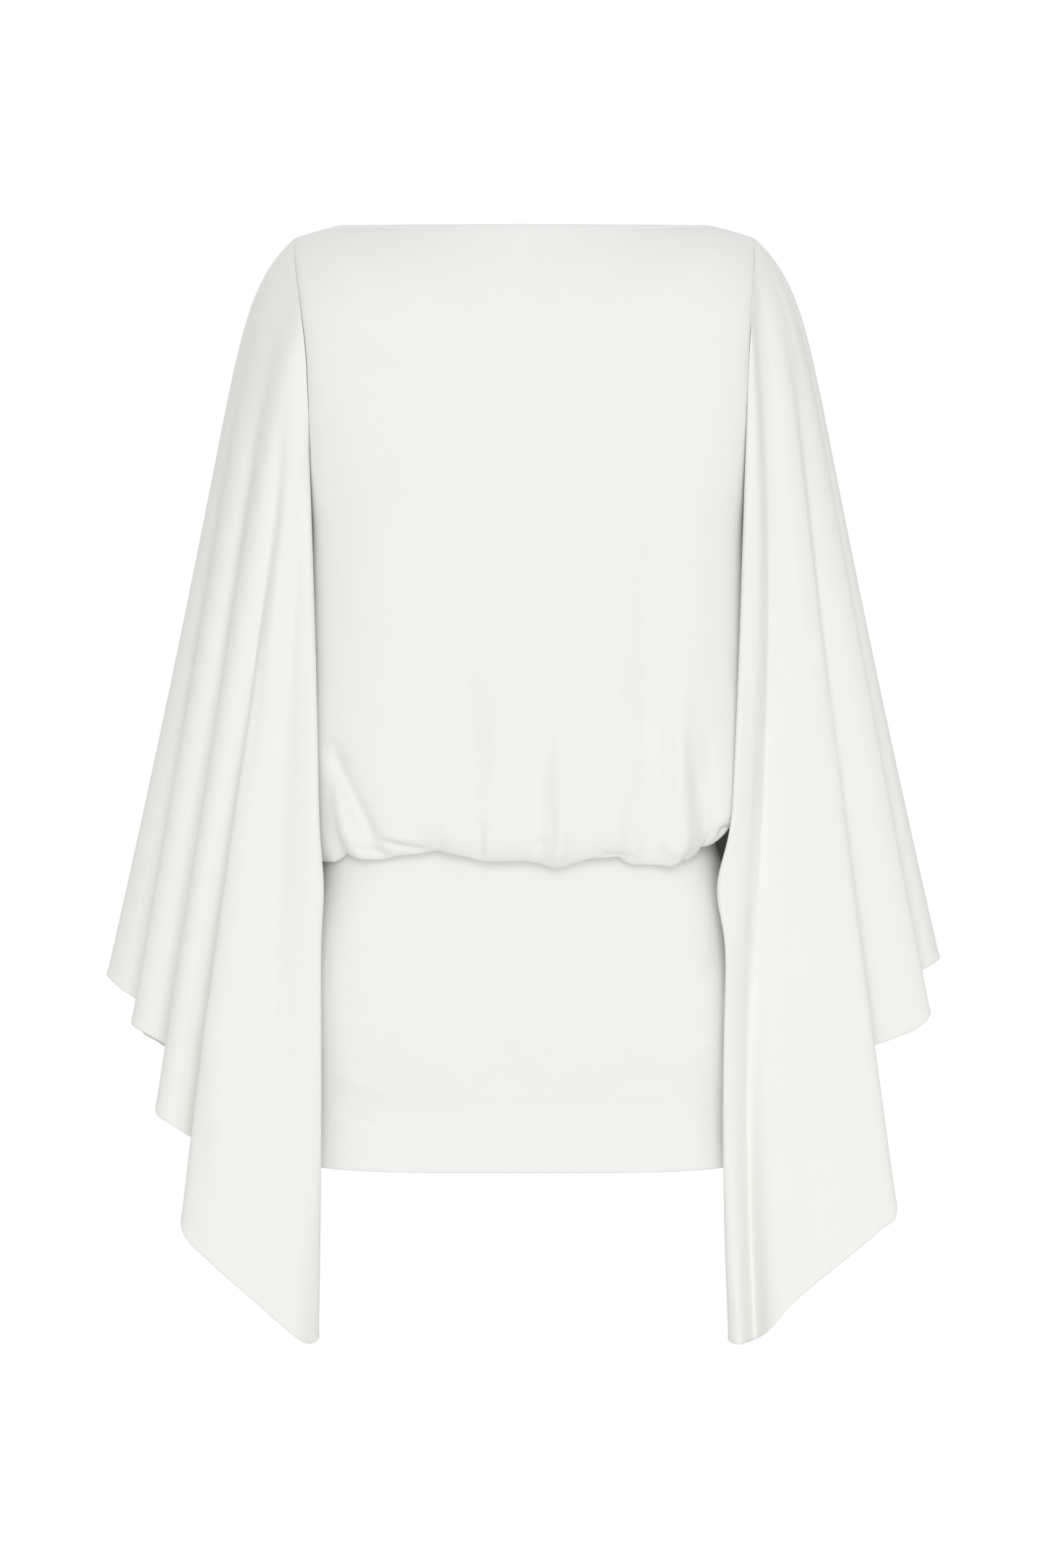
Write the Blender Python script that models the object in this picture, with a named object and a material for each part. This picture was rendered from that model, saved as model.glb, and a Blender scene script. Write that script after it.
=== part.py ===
"""Mini dress with long cape sleeves: every cut piece is a thin closed wall of cloth.

The dress hangs filled out as on a wearer. The origin lies midway between the two shoulder
tips at shoulder height, +Z is up, the garment's back faces -Y and +X is the wearer's right.
Sizes are in metres, and a drop is a distance below the shoulders.
"""
import bpy
import numpy as np

# Cloth and seams
CLOTH = 0.0016
NECK_BAND_CLOTH = 0.0024
HEM_CLOTH = 0.0026
HEM_HEIGHT = 0.009
SEAM_GAP = 0.00035

# Neck and shoulders
NECK_HALF_LENGTH = 0.1530
NECK_DEPTH = 0.060
NECK_POINT_RISE = 0.0072
NECK_CENTRE_RISE = {"back": 0.0033, "front": -0.0080}
BAND_WIDTH = 0.0085
BAND_SEAM = 0.0007
SHOULDER_HALF_WIDTH = 0.193
SHOULDER_TIP_RISE = -0.003
SHOULDER_CURVE = 1.4
YOKE_DROP = 0.085
UNDERARM_DROP = 0.246

# Waist seam under the blouson, and the skirt
SKIRT_HEM_DROP = 0.785
LIP_ABOVE = 0.028
LIP_INSIDE = 0.016
LIP_CLEARANCE = 0.0010

# General half width and depth of the torso and the skirt
TORSO_HALVES = (0.180, 0.120)
SKIRT_HALVES = (0.167, 0.110)


def table(columns, rows):
    """One array for each named column."""
    return dict(zip(columns.split(), np.array(rows, dtype=float).T))


# Torso outline: each half's width, each face's depth, and how square its corners are
TORSO = table("drop left right back front roundness", [
    (0.000, 0.1930, 0.1930, 0.086, 0.084, 2.4),
    (0.025, 0.1910, 0.1920, 0.095, 0.094, 2.6),
    (0.065, 0.1855, 0.1885, 0.103, 0.105, 2.9),
    (0.107, 0.1805, 0.1860, 0.109, 0.115, 3.1),
    (0.150, 0.1785, 0.1840, 0.112, 0.120, 3.2),
    (0.190, 0.1775, 0.1830, 0.113, 0.121, 3.2),
    (0.246, 0.1785, 0.1840, 0.114, 0.120, 3.2),
    (0.300, 0.1820, 0.1875, 0.117, 0.119, 3.3),
    (0.360, 0.1865, 0.1920, 0.121, 0.118, 3.5),
    (0.420, 0.1895, 0.1950, 0.126, 0.121, 3.6),
    (0.465, 0.1900, 0.1955, 0.130, 0.125, 3.6),
    (0.500, 0.1895, 0.1950, 0.132, 0.127, 3.5),
    (0.545, 0.1875, 0.1925, 0.131, 0.127, 3.5),
])

# How far the armhole edge stands back and forward of the shoulder seam, and how full the
# cloth beside it and under it is
ARMHOLE = table("drop setback fullness", [
    (0.000, 0.044, 0.044),
    (0.040, 0.058, 0.058),
    (0.090, 0.070, 0.070),
    (0.150, 0.072, 0.070),
    (0.190, 0.065, 0.064),
    (0.220, 0.046, 0.053),
    (0.238, 0.022, 0.045),
    (0.246, 0.000, 0.041),
    (0.290, 0.000, 0.024),
    (0.335, 0.000, 0.010),
    (0.380, 0.000, 0.000),
    (0.600, 0.000, 0.000),
])

SKIRT_ROUNDNESS = 5.0
SKIRT = table("drop left right back front", [
    (0.462, 0.1650, 0.1560, 0.098, 0.094),
    (0.515, 0.1690, 0.1605, 0.102, 0.096),
    (0.529, 0.1710, 0.1650, 0.104, 0.097),
    (0.557, 0.1760, 0.1710, 0.107, 0.098),
    (0.590, 0.1825, 0.1750, 0.109, 0.098),
    (0.630, 0.1860, 0.1800, 0.110, 0.098),
    (0.660, 0.1865, 0.1825, 0.108, 0.097),
    (0.690, 0.1860, 0.1830, 0.104, 0.096),
    (0.715, 0.1855, 0.1825, 0.099, 0.095),
    (0.738, 0.1850, 0.1820, 0.095, 0.094),
    (0.785, 0.1850, 0.1820, 0.094, 0.094),
])

# Lower edge of the blouson, drooping unevenly over the waist seam
BLOUSON_EDGE = {
    "back": table("x drop", [
        (-0.193, 0.520), (-0.180, 0.526), (-0.166, 0.527), (-0.154, 0.520), (-0.147, 0.523),
        (-0.137, 0.525), (-0.126, 0.525), (-0.112, 0.522), (-0.092, 0.520), (-0.075, 0.5175),
        (-0.064, 0.520), (-0.047, 0.5235), (-0.037, 0.526), (-0.021, 0.5265), (-0.002, 0.526),
        (0.014, 0.528), (0.021, 0.530), (0.026, 0.532), (0.032, 0.531), (0.044, 0.528),
        (0.060, 0.524), (0.070, 0.5235), (0.085, 0.5225), (0.092, 0.527), (0.099, 0.529),
        (0.111, 0.529), (0.123, 0.530), (0.129, 0.531), (0.134, 0.529), (0.138, 0.526),
        (0.146, 0.525), (0.152, 0.522), (0.157, 0.515), (0.164, 0.514), (0.170, 0.5105),
        (0.176, 0.504), (0.182, 0.494), (0.190, 0.495), (0.198, 0.505),
    ]),
    "front": table("x drop", [
        (-0.193, 0.535), (-0.178, 0.550), (-0.160, 0.546), (-0.138, 0.528), (-0.116, 0.518),
        (-0.088, 0.521), (-0.060, 0.528), (-0.036, 0.524), (-0.012, 0.529), (0.008, 0.519),
        (0.040, 0.523), (0.066, 0.531), (0.090, 0.522), (0.118, 0.526), (0.138, 0.532),
        (0.154, 0.548), (0.170, 0.572), (0.182, 0.574), (0.191, 0.550), (0.198, 0.520),
    ]),
}

# Main folds of the bodice: a path in three points, a half width, and a height out of the cloth
FOLD_COLUMNS = "top_x top_drop mid_x mid_drop low_x low_drop width height"
BODICE_FOLDS = {
    "back": table(FOLD_COLUMNS, [
        (0.117, 0.110, 0.104, 0.340, 0.106, 0.535, 0.014, -0.0050),
        (0.140, 0.330, 0.124, 0.450, 0.129, 0.535, 0.011, 0.0050),
        (0.140, 0.420, 0.148, 0.475, 0.155, 0.535, 0.009, -0.0050),
        (0.036, 0.380, 0.030, 0.465, 0.026, 0.535, 0.012, 0.0050),
        (0.020, 0.420, 0.016, 0.480, 0.014, 0.535, 0.009, -0.0045),
        (-0.070, 0.240, -0.047, 0.410, -0.042, 0.535, 0.016, -0.0030),
        (-0.162, 0.410, -0.143, 0.478, -0.120, 0.535, 0.010, -0.0060),
        (-0.156, 0.430, -0.148, 0.480, -0.136, 0.535, 0.010, 0.0050),
        (-0.014, 0.300, -0.020, 0.430, -0.022, 0.535, 0.014, 0.0030),
        (0.074, 0.280, 0.076, 0.420, 0.078, 0.535, 0.013, 0.0028),
    ]),
    "front": table(FOLD_COLUMNS, [
        (-0.120, 0.150, -0.112, 0.360, -0.116, 0.535, 0.014, -0.0045),
        (-0.146, 0.360, -0.137, 0.460, -0.136, 0.535, 0.011, 0.0050),
        (-0.048, 0.320, -0.058, 0.440, -0.060, 0.535, 0.013, 0.0045),
        (-0.030, 0.380, -0.034, 0.470, -0.036, 0.535, 0.011, -0.0040),
        (0.020, 0.300, 0.010, 0.440, 0.008, 0.535, 0.013, -0.0045),
        (0.072, 0.260, 0.066, 0.430, 0.066, 0.535, 0.015, 0.0045),
        (0.100, 0.180, 0.096, 0.400, 0.092, 0.535, 0.013, -0.0040),
        (0.134, 0.340, 0.124, 0.460, 0.122, 0.535, 0.011, 0.0050),
        (0.150, 0.400, 0.148, 0.480, 0.144, 0.535, 0.009, -0.0045),
    ]),
}

# Sleeve hems, once round: down the pleats on the back, under the arm, up those on the front.
# Turn is the place along the armhole, from 0 at the shoulder tip by 1 at the underarm to 2.
# Kick is the share of the way out that is gone at the shoulder. Bow and swell are how far a line
# bends out to the side and along Y halfway down, and sway how far it bends out and then back.
SLEEVE_COLUMNS = "x y z turn kick bow swell sway"
SLEEVE_HEM = {
    "left": [
        ("outer edge", -0.3525, 0.004, -0.624, 0.00, 0.23, -0.0025, 0.000, 0.000),
        ("first face", -0.340, -0.012, -0.635, 0.03, 0.22, -0.002, 0.000, 0.000),
        ("first tuck", -0.321, -0.020, -0.649, 0.07, 0.20, 0.000, 0.000, 0.000),
        ("second edge", -0.329, -0.040, -0.663, 0.12, 0.17, 0.001, 0.000, 0.000),
        ("second face", -0.315, -0.052, -0.672, 0.17, 0.14, 0.002, 0.000, 0.000),
        ("second tuck", -0.290, -0.045, -0.691, 0.23, 0.12, 0.002, 0.000, 0.000),
        ("third edge", -0.307, -0.072, -0.733, 0.30, 0.10, 0.003, -0.004, 0.000),
        ("third face", -0.292, -0.084, -0.746, 0.36, 0.09, 0.003, -0.006, 0.000),
        ("third tuck", -0.264, -0.068, -0.773, 0.46, 0.08, 0.004, -0.006, 0.000),
        ("main edge", -0.285, -0.098, -0.826, 0.56, 0.04, 0.008, -0.010, 0.000),
        ("main face", -0.261, -0.110, -0.856, 0.59, 0.04, 0.006, -0.012, 0.000),
        ("main middle", -0.224, -0.108, -0.889, 0.62, 0.03, 0.003, -0.012, 0.000),
        ("main inside", -0.191, -0.100, -0.919, 0.66, 0.02, 0.001, -0.024, 0.000),
        ("tip", -0.178, -0.088, -0.927, 0.70, 0.00, -0.003, -0.036, 0.000),
        ("inner edge", -0.1712, -0.074, -0.921, 0.77, 0.00, -0.0045, -0.043, 0.000),
        ("inner wall behind", -0.196, -0.050, -0.908, 0.88, 0.26, 0.015, -0.017, 0.000),
        ("inner wall", -0.202, 0.000, -0.902, 1.00, 0.32, 0.014, 0.000, 0.000),
        ("inner wall before", -0.196, 0.048, -0.903, 1.12, 0.26, 0.013, 0.014, 0.000),
        ("front inner edge", -0.179, 0.070, -0.905, 1.23, 0.00, 0.004, 0.042, 0.000),
        ("front tip", -0.189, 0.086, -0.898, 1.29, 0.00, 0.002, 0.034, 0.000),
        ("front inside", -0.212, 0.098, -0.889, 1.34, 0.02, 0.002, 0.022, 0.000),
        ("front main face", -0.243, 0.103, -0.866, 1.39, 0.03, 0.004, 0.012, 0.000),
        ("front main edge", -0.277, 0.095, -0.842, 1.44, 0.05, 0.008, 0.013, 0.000),
        ("front third tuck", -0.256, 0.066, -0.796, 1.53, 0.08, 0.004, 0.001, 0.000),
        ("front third face", -0.283, 0.077, -0.764, 1.62, 0.10, 0.003, 0.005, 0.000),
        ("front third edge", -0.300, 0.064, -0.750, 1.69, 0.11, 0.003, 0.004, 0.000),
        ("front second tuck", -0.284, 0.040, -0.708, 1.77, 0.12, 0.002, 0.000, 0.000),
        ("front second face", -0.310, 0.048, -0.684, 1.83, 0.14, 0.002, 0.000, 0.000),
        ("front second edge", -0.326, 0.036, -0.672, 1.88, 0.15, 0.002, 0.000, 0.000),
        ("front first tuck", -0.312, 0.019, -0.650, 1.93, 0.20, 0.000, 0.000, 0.000),
        ("front first face", -0.340, 0.017, -0.635, 1.97, 0.22, -0.002, 0.000, 0.000),
    ],
    "right": [
        ("outer edge", 0.3505, 0.004, -0.610, 0.00, 0.23, -0.0025, 0.000, 0.000),
        ("first face", 0.342, -0.012, -0.616, 0.02, 0.23, -0.0025, 0.000, 0.000),
        ("first tuck", 0.316, -0.021, -0.631, 0.04, 0.21, 0.000, 0.000, 0.000),
        ("second edge", 0.340, -0.042, -0.653, 0.06, 0.20, 0.000, 0.000, 0.000),
        ("second face", 0.326, -0.054, -0.668, 0.08, 0.20, 0.000, 0.000, 0.000),
        ("second inside", 0.302, -0.058, -0.678, 0.10, 0.19, 0.000, 0.000, 0.000),
        ("second tuck", 0.276, -0.056, -0.698, 0.12, 0.20, 0.000, 0.000, 0.000),
        ("main edge", 0.3085, -0.088, -0.809, 0.15, 0.20, 0.000, 0.000, 0.000),
        ("main face", 0.295, -0.100, -0.831, 0.17, 0.19, 0.000, 0.000, 0.000),
        ("main middle", 0.258, -0.108, -0.861, 0.19, 0.17, 0.000, 0.000, 0.000),
        ("main inside", 0.222, -0.106, -0.891, 0.22, 0.14, 0.000, 0.000, 0.002),
        ("main rim", 0.199, -0.100, -0.914, 0.26, 0.08, 0.000, 0.000, 0.006),
        ("groove", 0.191, -0.075, -0.924, 0.32, 0.04, 0.000, -0.014, 0.007),
        ("strip edge", 0.186, -0.088, -0.926, 0.40, 0.02, 0.000, -0.016, 0.007),
        ("strip ridge", 0.178, -0.092, -0.927, 0.52, 0.00, -0.001, -0.021, 0.006),
        ("inner edge", 0.1705, -0.078, -0.923, 0.74, 0.00, -0.0045, -0.034, 0.006),
        ("inner wall behind", 0.196, -0.050, -0.905, 0.88, 0.23, 0.015, -0.017, 0.003),
        ("inner wall", 0.202, 0.000, -0.899, 1.00, 0.26, 0.014, 0.000, 0.000),
        ("inner wall before", 0.196, 0.048, -0.900, 1.12, 0.23, 0.013, 0.014, 0.000),
        ("front inner edge", 0.178, 0.070, -0.903, 1.24, 0.00, -0.002, 0.042, 0.000),
        ("front tip", 0.191, 0.088, -0.894, 1.32, 0.00, 0.002, 0.034, 0.000),
        ("front inside", 0.217, 0.101, -0.883, 1.38, 0.02, 0.002, 0.022, 0.000),
        ("front main face", 0.252, 0.103, -0.855, 1.44, 0.04, 0.004, 0.010, 0.000),
        ("front main edge", 0.288, 0.090, -0.826, 1.50, 0.08, 0.006, 0.008, 0.000),
        ("front third tuck", 0.258, 0.072, -0.778, 1.58, 0.10, 0.004, 0.005, 0.000),
        ("front third face", 0.285, 0.067, -0.742, 1.66, 0.12, 0.003, 0.004, 0.000),
        ("front third edge", 0.299, 0.056, -0.728, 1.72, 0.13, 0.003, 0.002, 0.000),
        ("front second tuck", 0.284, 0.038, -0.690, 1.78, 0.15, 0.000, 0.000, 0.000),
        ("front second face", 0.318, 0.046, -0.668, 1.84, 0.16, 0.000, 0.000, 0.000),
        ("front second edge", 0.334, 0.034, -0.655, 1.89, 0.17, 0.000, 0.000, 0.000),
        ("front first tuck", 0.314, 0.017, -0.632, 1.94, 0.21, 0.000, 0.000, 0.000),
        ("front first face", 0.341, 0.015, -0.618, 1.97, 0.23, -0.0025, 0.000, 0.000),
    ],
}
KICK_LENGTH = 0.055
SHORTEST_SLEEVE = 0.65
FOLD_GROWTH = 1.4
SMOOTH_WAVES = 3

# Grid lines of the walls
SHOULDER_COLUMNS = 6
NECK_COLUMNS = 9
YOKE_ROWS = (0, 0.0025, 0.009, 0.022, 0.045, 0.080, 0.120, 0.158, 0.190, 0.214, 0.231, 0.242)
SIDE_ROWS = 6
LIP_ROWS = (0.25, 0.5, 0.72, 1.0)
SKIRT_ROWS = (0.462, 0.515, 0.529, 0.543, 0.557, 0.590, 0.635, 0.677, 0.715)
COLUMNS_PER_HEM_ROW = 3
SLEEVE_ROWS = (0, 0.02, 0.05, 0.10, 0.17, 0.26, 0.38, 0.52, 0.67, 0.83)

# White stretch crepe
CLOTH_COLOUR = (0.83, 0.83, 0.81, 1.0)
CLOTH_ROUGHNESS = 0.72


def ease(share):
    """Rise from 0 to 1 with level ends."""
    share = np.clip(share, 0, 1)
    return share * share * (3 - 2 * share)


def through(x, xs, ys):
    """Smooth curve through points, which never bulges past them (cubics with harmonic slopes)."""
    x = np.clip(x, xs[0], xs[-1])
    step = np.diff(xs)
    slope = np.diff(ys) / step
    before, after = slope[:-1], slope[1:]
    turning = before * after <= 0
    harmonic = 2 * before * after / np.where(turning, 1, before + after)
    tangent = np.concatenate([slope[:1], np.where(turning, 0, harmonic), slope[-1:]])
    k = np.clip(np.searchsorted(xs, x, side="right") - 1, 0, len(step) - 1)
    t = (x - xs[k]) / step[k]
    start = ys[k] * (1 + 2 * t) + tangent[k] * step[k] * t
    end = ys[k + 1] * (3 - 2 * t) + tangent[k + 1] * step[k] * (t - 1)
    return start * (1 - t) ** 2 + end * t ** 2


def superellipse(theta, roundness):
    """Half a superellipse of half width and depth 1: |x|^n + y^n = 1, with x = -cos(theta)."""
    across = -np.cos(theta)
    return across, np.clip(1 - np.abs(across) ** roundness, 0, 1) ** (1 / roundness)


# Torso: theta runs from 0 at the left side seam by the centre to pi at the right one

def torso_section(face, theta, drop):
    """Distance across and depth of the bodice at one height, from armhole edge to armhole edge.

    It is a superellipse, whose ends are lifted to the armhole's edge, and lie on the side seam
    below it. Beside them the cloth stays fuller, and evens out further down.
    """
    left = through(drop, TORSO["drop"], TORSO["left"])
    right = through(drop, TORSO["drop"], TORSO["right"])
    depth = through(drop, TORSO["drop"], TORSO[face])
    setback = through(drop, ARMHOLE["drop"], ARMHOLE["setback"])
    fullness = through(drop, ARMHOLE["drop"], ARMHOLE["fullness"])
    roundness = through(drop, TORSO["drop"], TORSO["roundness"])
    across, round_off = superellipse(theta, roundness)
    x = across * np.where(across < 0, left, right)
    aside = 1 - round_off
    lift = fullness + (setback - fullness) * aside ** 4
    return x, depth * round_off + lift * aside ** 1.25


def skirt_section(face, theta, drop):
    """Distance across and depth of the skirt at one height, a superellipse."""
    left = through(drop, SKIRT["drop"], SKIRT["left"])
    right = through(drop, SKIRT["drop"], SKIRT["right"])
    depth = through(drop, SKIRT["drop"], SKIRT[face])
    across, round_off = superellipse(theta, SKIRT_ROUNDNESS)
    return across * np.where(across < 0, left, right), depth * round_off


def top_line(face, x, inset):
    """Depth and height of the neck edge and shoulder seam at x, for a neck line let out by inset.

    The neck line is a parabola between the neck points, the shoulder seam a slope
    that steepens towards its tip.
    """
    half = NECK_HALF_LENGTH + inset
    inside = np.clip(1 - (x / half) ** 2, 0, 1)
    along = np.clip((np.abs(x) - NECK_HALF_LENGTH) / (SHOULDER_HALF_WIDTH - NECK_HALF_LENGTH), 0, 1)
    slope = NECK_POINT_RISE + (SHOULDER_TIP_RISE - NECK_POINT_RISE) * along ** SHOULDER_CURVE
    dip = (NECK_CENTRE_RISE[face] - NECK_POINT_RISE) - 0.7 * inset
    return (NECK_DEPTH + 0.8 * inset) * inside, slope + dip * inside


def folds(face, x, drop):
    """Height of the main folds: ridges and troughs with bell sections along bent paths."""
    rows = BODICE_FOLDS[face]
    total = np.zeros(np.broadcast(x, drop).shape)
    for k in range(len(rows["width"])):
        drops = np.array([rows["top_drop"][k], rows["mid_drop"][k], rows["low_drop"][k]])
        places = np.array([rows["top_x"][k], rows["mid_x"][k], rows["low_x"][k]])
        middle = through(drop, drops, places)
        strength = ease((drop - drops[0]) / (drops[1] - drops[0]))
        total += rows["height"][k] * strength * np.exp(-((x - middle) / rows["width"][k]) ** 2)
    return total


def outwards(x, y, side, depth):
    """Unit direction out of a superellipse-like section at a point of it."""
    out_x = x / side ** 2
    out_y = y / depth ** 2
    length = np.maximum(np.hypot(out_x, out_y), 1e-9)
    return out_x / length, out_y / length


def draped_section(face, theta, drop):
    """Torso section with the main folds added, which die away towards the side seams."""
    x, y = torso_section(face, theta, drop)
    out_x, out_y = outwards(x, y, *TORSO_HALVES)
    height = folds(face, x, drop) * ease(np.sin(theta) / 0.35)
    return x + out_x * height, y + out_y * height


def bodice(face, theta, level):
    """Bodice panel: level 0 to 1 is shoulder to underarm, to 2 the side, to 3 the blouson's lip.

    The lip is half an ellipse from the outer wall down, inwards and up beside the skirt's edge.
    """
    theta = np.clip(theta, 0, np.pi)
    level = np.clip(level, 0, 3)
    # Yoke: the top line's depth gives way to the section's, steeply first, as over a shoulder
    drop = UNDERARM_DROP * np.clip(level, 0, 1)
    gone = np.clip(drop / YOKE_DROP, 0, 1)
    x, y = torso_section(face, theta, drop)
    top_x, top_y = torso_section(face, theta, 0 * drop)
    seam_y, seam_z = top_line(face, top_x, BAND_WIDTH)
    steepness = 0.5 + 0.4 * np.clip(1 - (top_x / NECK_HALF_LENGTH) ** 2, 0, 1)
    blend = (1 - (1 - gone) ** 2) ** steepness
    fold_x, fold_y = draped_section(face, theta, drop)
    yoke = (fold_x, (1 - blend) * seam_y + blend * fold_y, seam_z * (1 - gone) - drop)
    # Side: rows spaced evenly down to where the lip begins
    edge = BLOUSON_EDGE[face]
    lowest = through(torso_section(face, theta, 0 * drop + 0.5)[0], edge["x"], edge["drop"])
    lip_start = lowest - LIP_ABOVE
    side_drop = UNDERARM_DROP + (lip_start - UNDERARM_DROP) * np.clip(level - 1, 0, 1)
    side = (*draped_section(face, theta, side_drop), -side_drop)
    # Lip
    turn = np.pi * np.clip(level - 2, 0, 1)
    height = np.where(turn < np.pi / 2, LIP_ABOVE, LIP_INSIDE)
    lip_drop = lowest - height * (1 - np.sin(turn))
    outer_x, outer_y = draped_section(face, theta, np.maximum(lip_drop, lip_start))
    inner_x, inner_y = skirt_section(face, theta, lip_drop)
    out_x, out_y = outwards(inner_x, inner_y, *SKIRT_HALVES)
    inner_x = inner_x + out_x * (CLOTH + LIP_CLEARANCE)
    inner_y = inner_y + out_y * (CLOTH + LIP_CLEARANCE)
    weight = (1 + np.cos(turn)) / 2
    lip = (inner_x + (outer_x - inner_x) * weight, inner_y + (outer_y - inner_y) * weight, -lip_drop)
    zone = [level <= 1, level <= 2]
    x, y, z = (np.select(zone, [a, b], c) for a, b, c in zip(yoke, side, lip))
    return on_face(face, x, y, z)


def on_face(face, x, y, z):
    """Put a panel on the back or the front, half a seam's gap off the side-seam plane."""
    turned = y + SEAM_GAP / 2
    return np.stack([x, -turned if face == "back" else turned, z], axis=-1)


def skirt(face, theta, drop):
    """Skirt panel down to its straight hem."""
    theta = np.clip(theta, 0, np.pi)
    return on_face(face, *skirt_section(face, theta, drop), -drop)


def neck_point():
    """Share of the shoulders' half width where the bodice's neck point lies, and its angle."""
    share = (NECK_HALF_LENGTH + BAND_WIDTH) / SHOULDER_HALF_WIDTH
    return share, np.arccos(share)


def neck_band(around, across):
    """Band round the neck: around 0 to 1 is the back from left to right, 1 to 2 the front.

    It is the strip between the neck line and the same line let out by the band's width, with
    its grid lines opposite those of the bodice.
    """
    face_is_back = around % 2 < 1
    swing = np.where(face_is_back, around % 2, 2 - around % 2)
    share, angle = neck_point()
    reach = -np.cos(angle + (np.pi - 2 * angle) * swing) / share
    inset = (BAND_WIDTH - BAND_SEAM) * (1 - across)
    x = reach * (NECK_HALF_LENGTH + inset)
    back_y, back_z = top_line("back", x, inset)
    front_y, front_z = top_line("front", x, inset)
    y = np.where(face_is_back, -back_y, front_y)
    return np.stack([x, y, np.where(face_is_back, back_z, front_z)], axis=-1)


# Sleeves: u counts rows round the hem, v runs from 0 at the armhole to 1 at the hem

def armhole(side, turn):
    """Point of the sleeve's armhole edge, beside the bodice's own edge by a seam's gap."""
    turn = turn % 2
    place = np.where(turn <= 1, turn, 2 - turn)
    levels = np.linspace(0, 1, 200)
    theta = 0.0 if side == "left" else np.pi
    edge = bodice("back", theta + 0 * levels, levels)
    length = np.concatenate([[0], np.cumsum(np.linalg.norm(np.diff(edge, axis=0), axis=1))])
    x, y, z = (np.interp(place, length / length[-1], edge[:, k]) for k in range(3))
    beside = SEAM_GAP + CLOTH * (0.52 + 0.53 * (1 - (1 - place) ** 3))
    away = -1 if side == "left" else 1
    return np.stack([x + away * beside, np.where(turn <= 1, y, -y), z], axis=-1)


def hem_table(side):
    """The sleeve's hem rows as columns."""
    return table(SLEEVE_COLUMNS, [row[1:] for row in SLEEVE_HEM[side]])


def round_spline(u, values):
    """Closed Catmull-Rom curve through values, one row to each whole number of u."""
    count = len(values)
    k = np.floor(u).astype(int)
    t = u - k
    a, b, c, d = (values[(k + shift) % count] for shift in (-1, 0, 1, 2))
    return b + t * (c - a) / 2 + t ** 2 * (a - 2.5 * b + 2 * c - d / 2) + t ** 3 * (
        1.5 * (b - c) + (d - a) / 2)


def smooth_round(u, values):
    """The same closed curve with only its slowest waves left: the hem before it is pleated."""
    count = len(values)
    samples = round_spline(np.arange(0, count, 0.125), values)
    waves = np.fft.rfft(samples)[: SMOOTH_WAVES + 1] / len(samples)
    phase = 2 * np.pi * u / count
    total = np.full(np.shape(u), waves[0].real)
    for k in range(1, SMOOTH_WAVES + 1):
        total = total + 2 * (waves[k].real * np.cos(k * phase) - waves[k].imag * np.sin(k * phase))
    return total


def sleeve(side, u, v):
    """Sleeve from the armhole to the pleated hem.

    Each line falls straight in height. It moves out towards the unpleated hem, part of it as
    a quick kick at the shoulder, and the pleats grow in on the way down.
    """
    v = np.clip(v, 0, 1)
    rows = hem_table(side)
    count = len(rows["x"])
    cycle = np.arange(-2, count + 3)
    turns = rows["turn"][cycle % count] + 2 * (cycle // count)
    start = armhole(side, through(u % count, cycle, turns))
    kick, bow, swell, sway = (
        through(u % count, cycle, rows[name][cycle % count])
        for name in ("kick", "bow", "swell", "sway"))
    out = kick * (1 - np.exp(-v / KICK_LENGTH)) + (1 - kick) * v
    arch = 4 * v * (1 - v)
    away = -1 if side == "left" else 1
    place = []
    aside = away * (bow * arch + sway * np.sin(2 * np.pi * v))
    for axis, bend in (("x", aside), ("y", swell * arch)):
        hem = round_spline(u, rows[axis])
        plain = smooth_round(u, rows[axis])
        begin = start[..., len(place)]
        place.append(begin + (plain - begin) * out + (hem - plain) * v ** FOLD_GROWTH + bend)
    z = start[..., 2] + (round_spline(u, rows["z"]) - start[..., 2]) * v
    return np.stack([*place, z], axis=-1)


# Walls

def surface_normal(surface, u, v):
    """Unit normals of a surface, from the differences between points close on either side."""
    near = 1e-3
    along_u = surface(u + near, v) - surface(u - near, v)
    along_v = surface(u, v + near) - surface(u, v - near)
    normal = np.cross(along_u, along_v)
    return normal / np.maximum(np.linalg.norm(normal, axis=-1, keepdims=True), 1e-15)


def wall_faces(rows, columns, closed, turned):
    """Faces of a wall with two grids of points, the outer one first, and rims on its edges."""
    inner = rows * columns
    last = columns if closed else columns - 1
    faces = []
    for r in range(rows - 1):
        for c in range(last):
            a, b = r * columns + c, r * columns + (c + 1) % columns
            d, e = a + columns, b + columns
            faces += [(a, b, e, d), (a + inner, d + inner, e + inner, b + inner)]
    bottom = (rows - 1) * columns
    for c in range(last):
        a, b = c, (c + 1) % columns
        faces += [(b, a, a + inner, b + inner)]
        faces += [(a + bottom, b + bottom, b + bottom + inner, a + bottom + inner)]
    if not closed:
        for r in range(rows - 1):
            a, b = r * columns, (r + 1) * columns
            faces += [(a, b, b + inner, a + inner)]
            a, b = a + columns - 1, b + columns - 1
            faces += [(b, a, a + inner, b + inner)]
    return [face[::-1] for face in faces] if turned else faces


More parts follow.
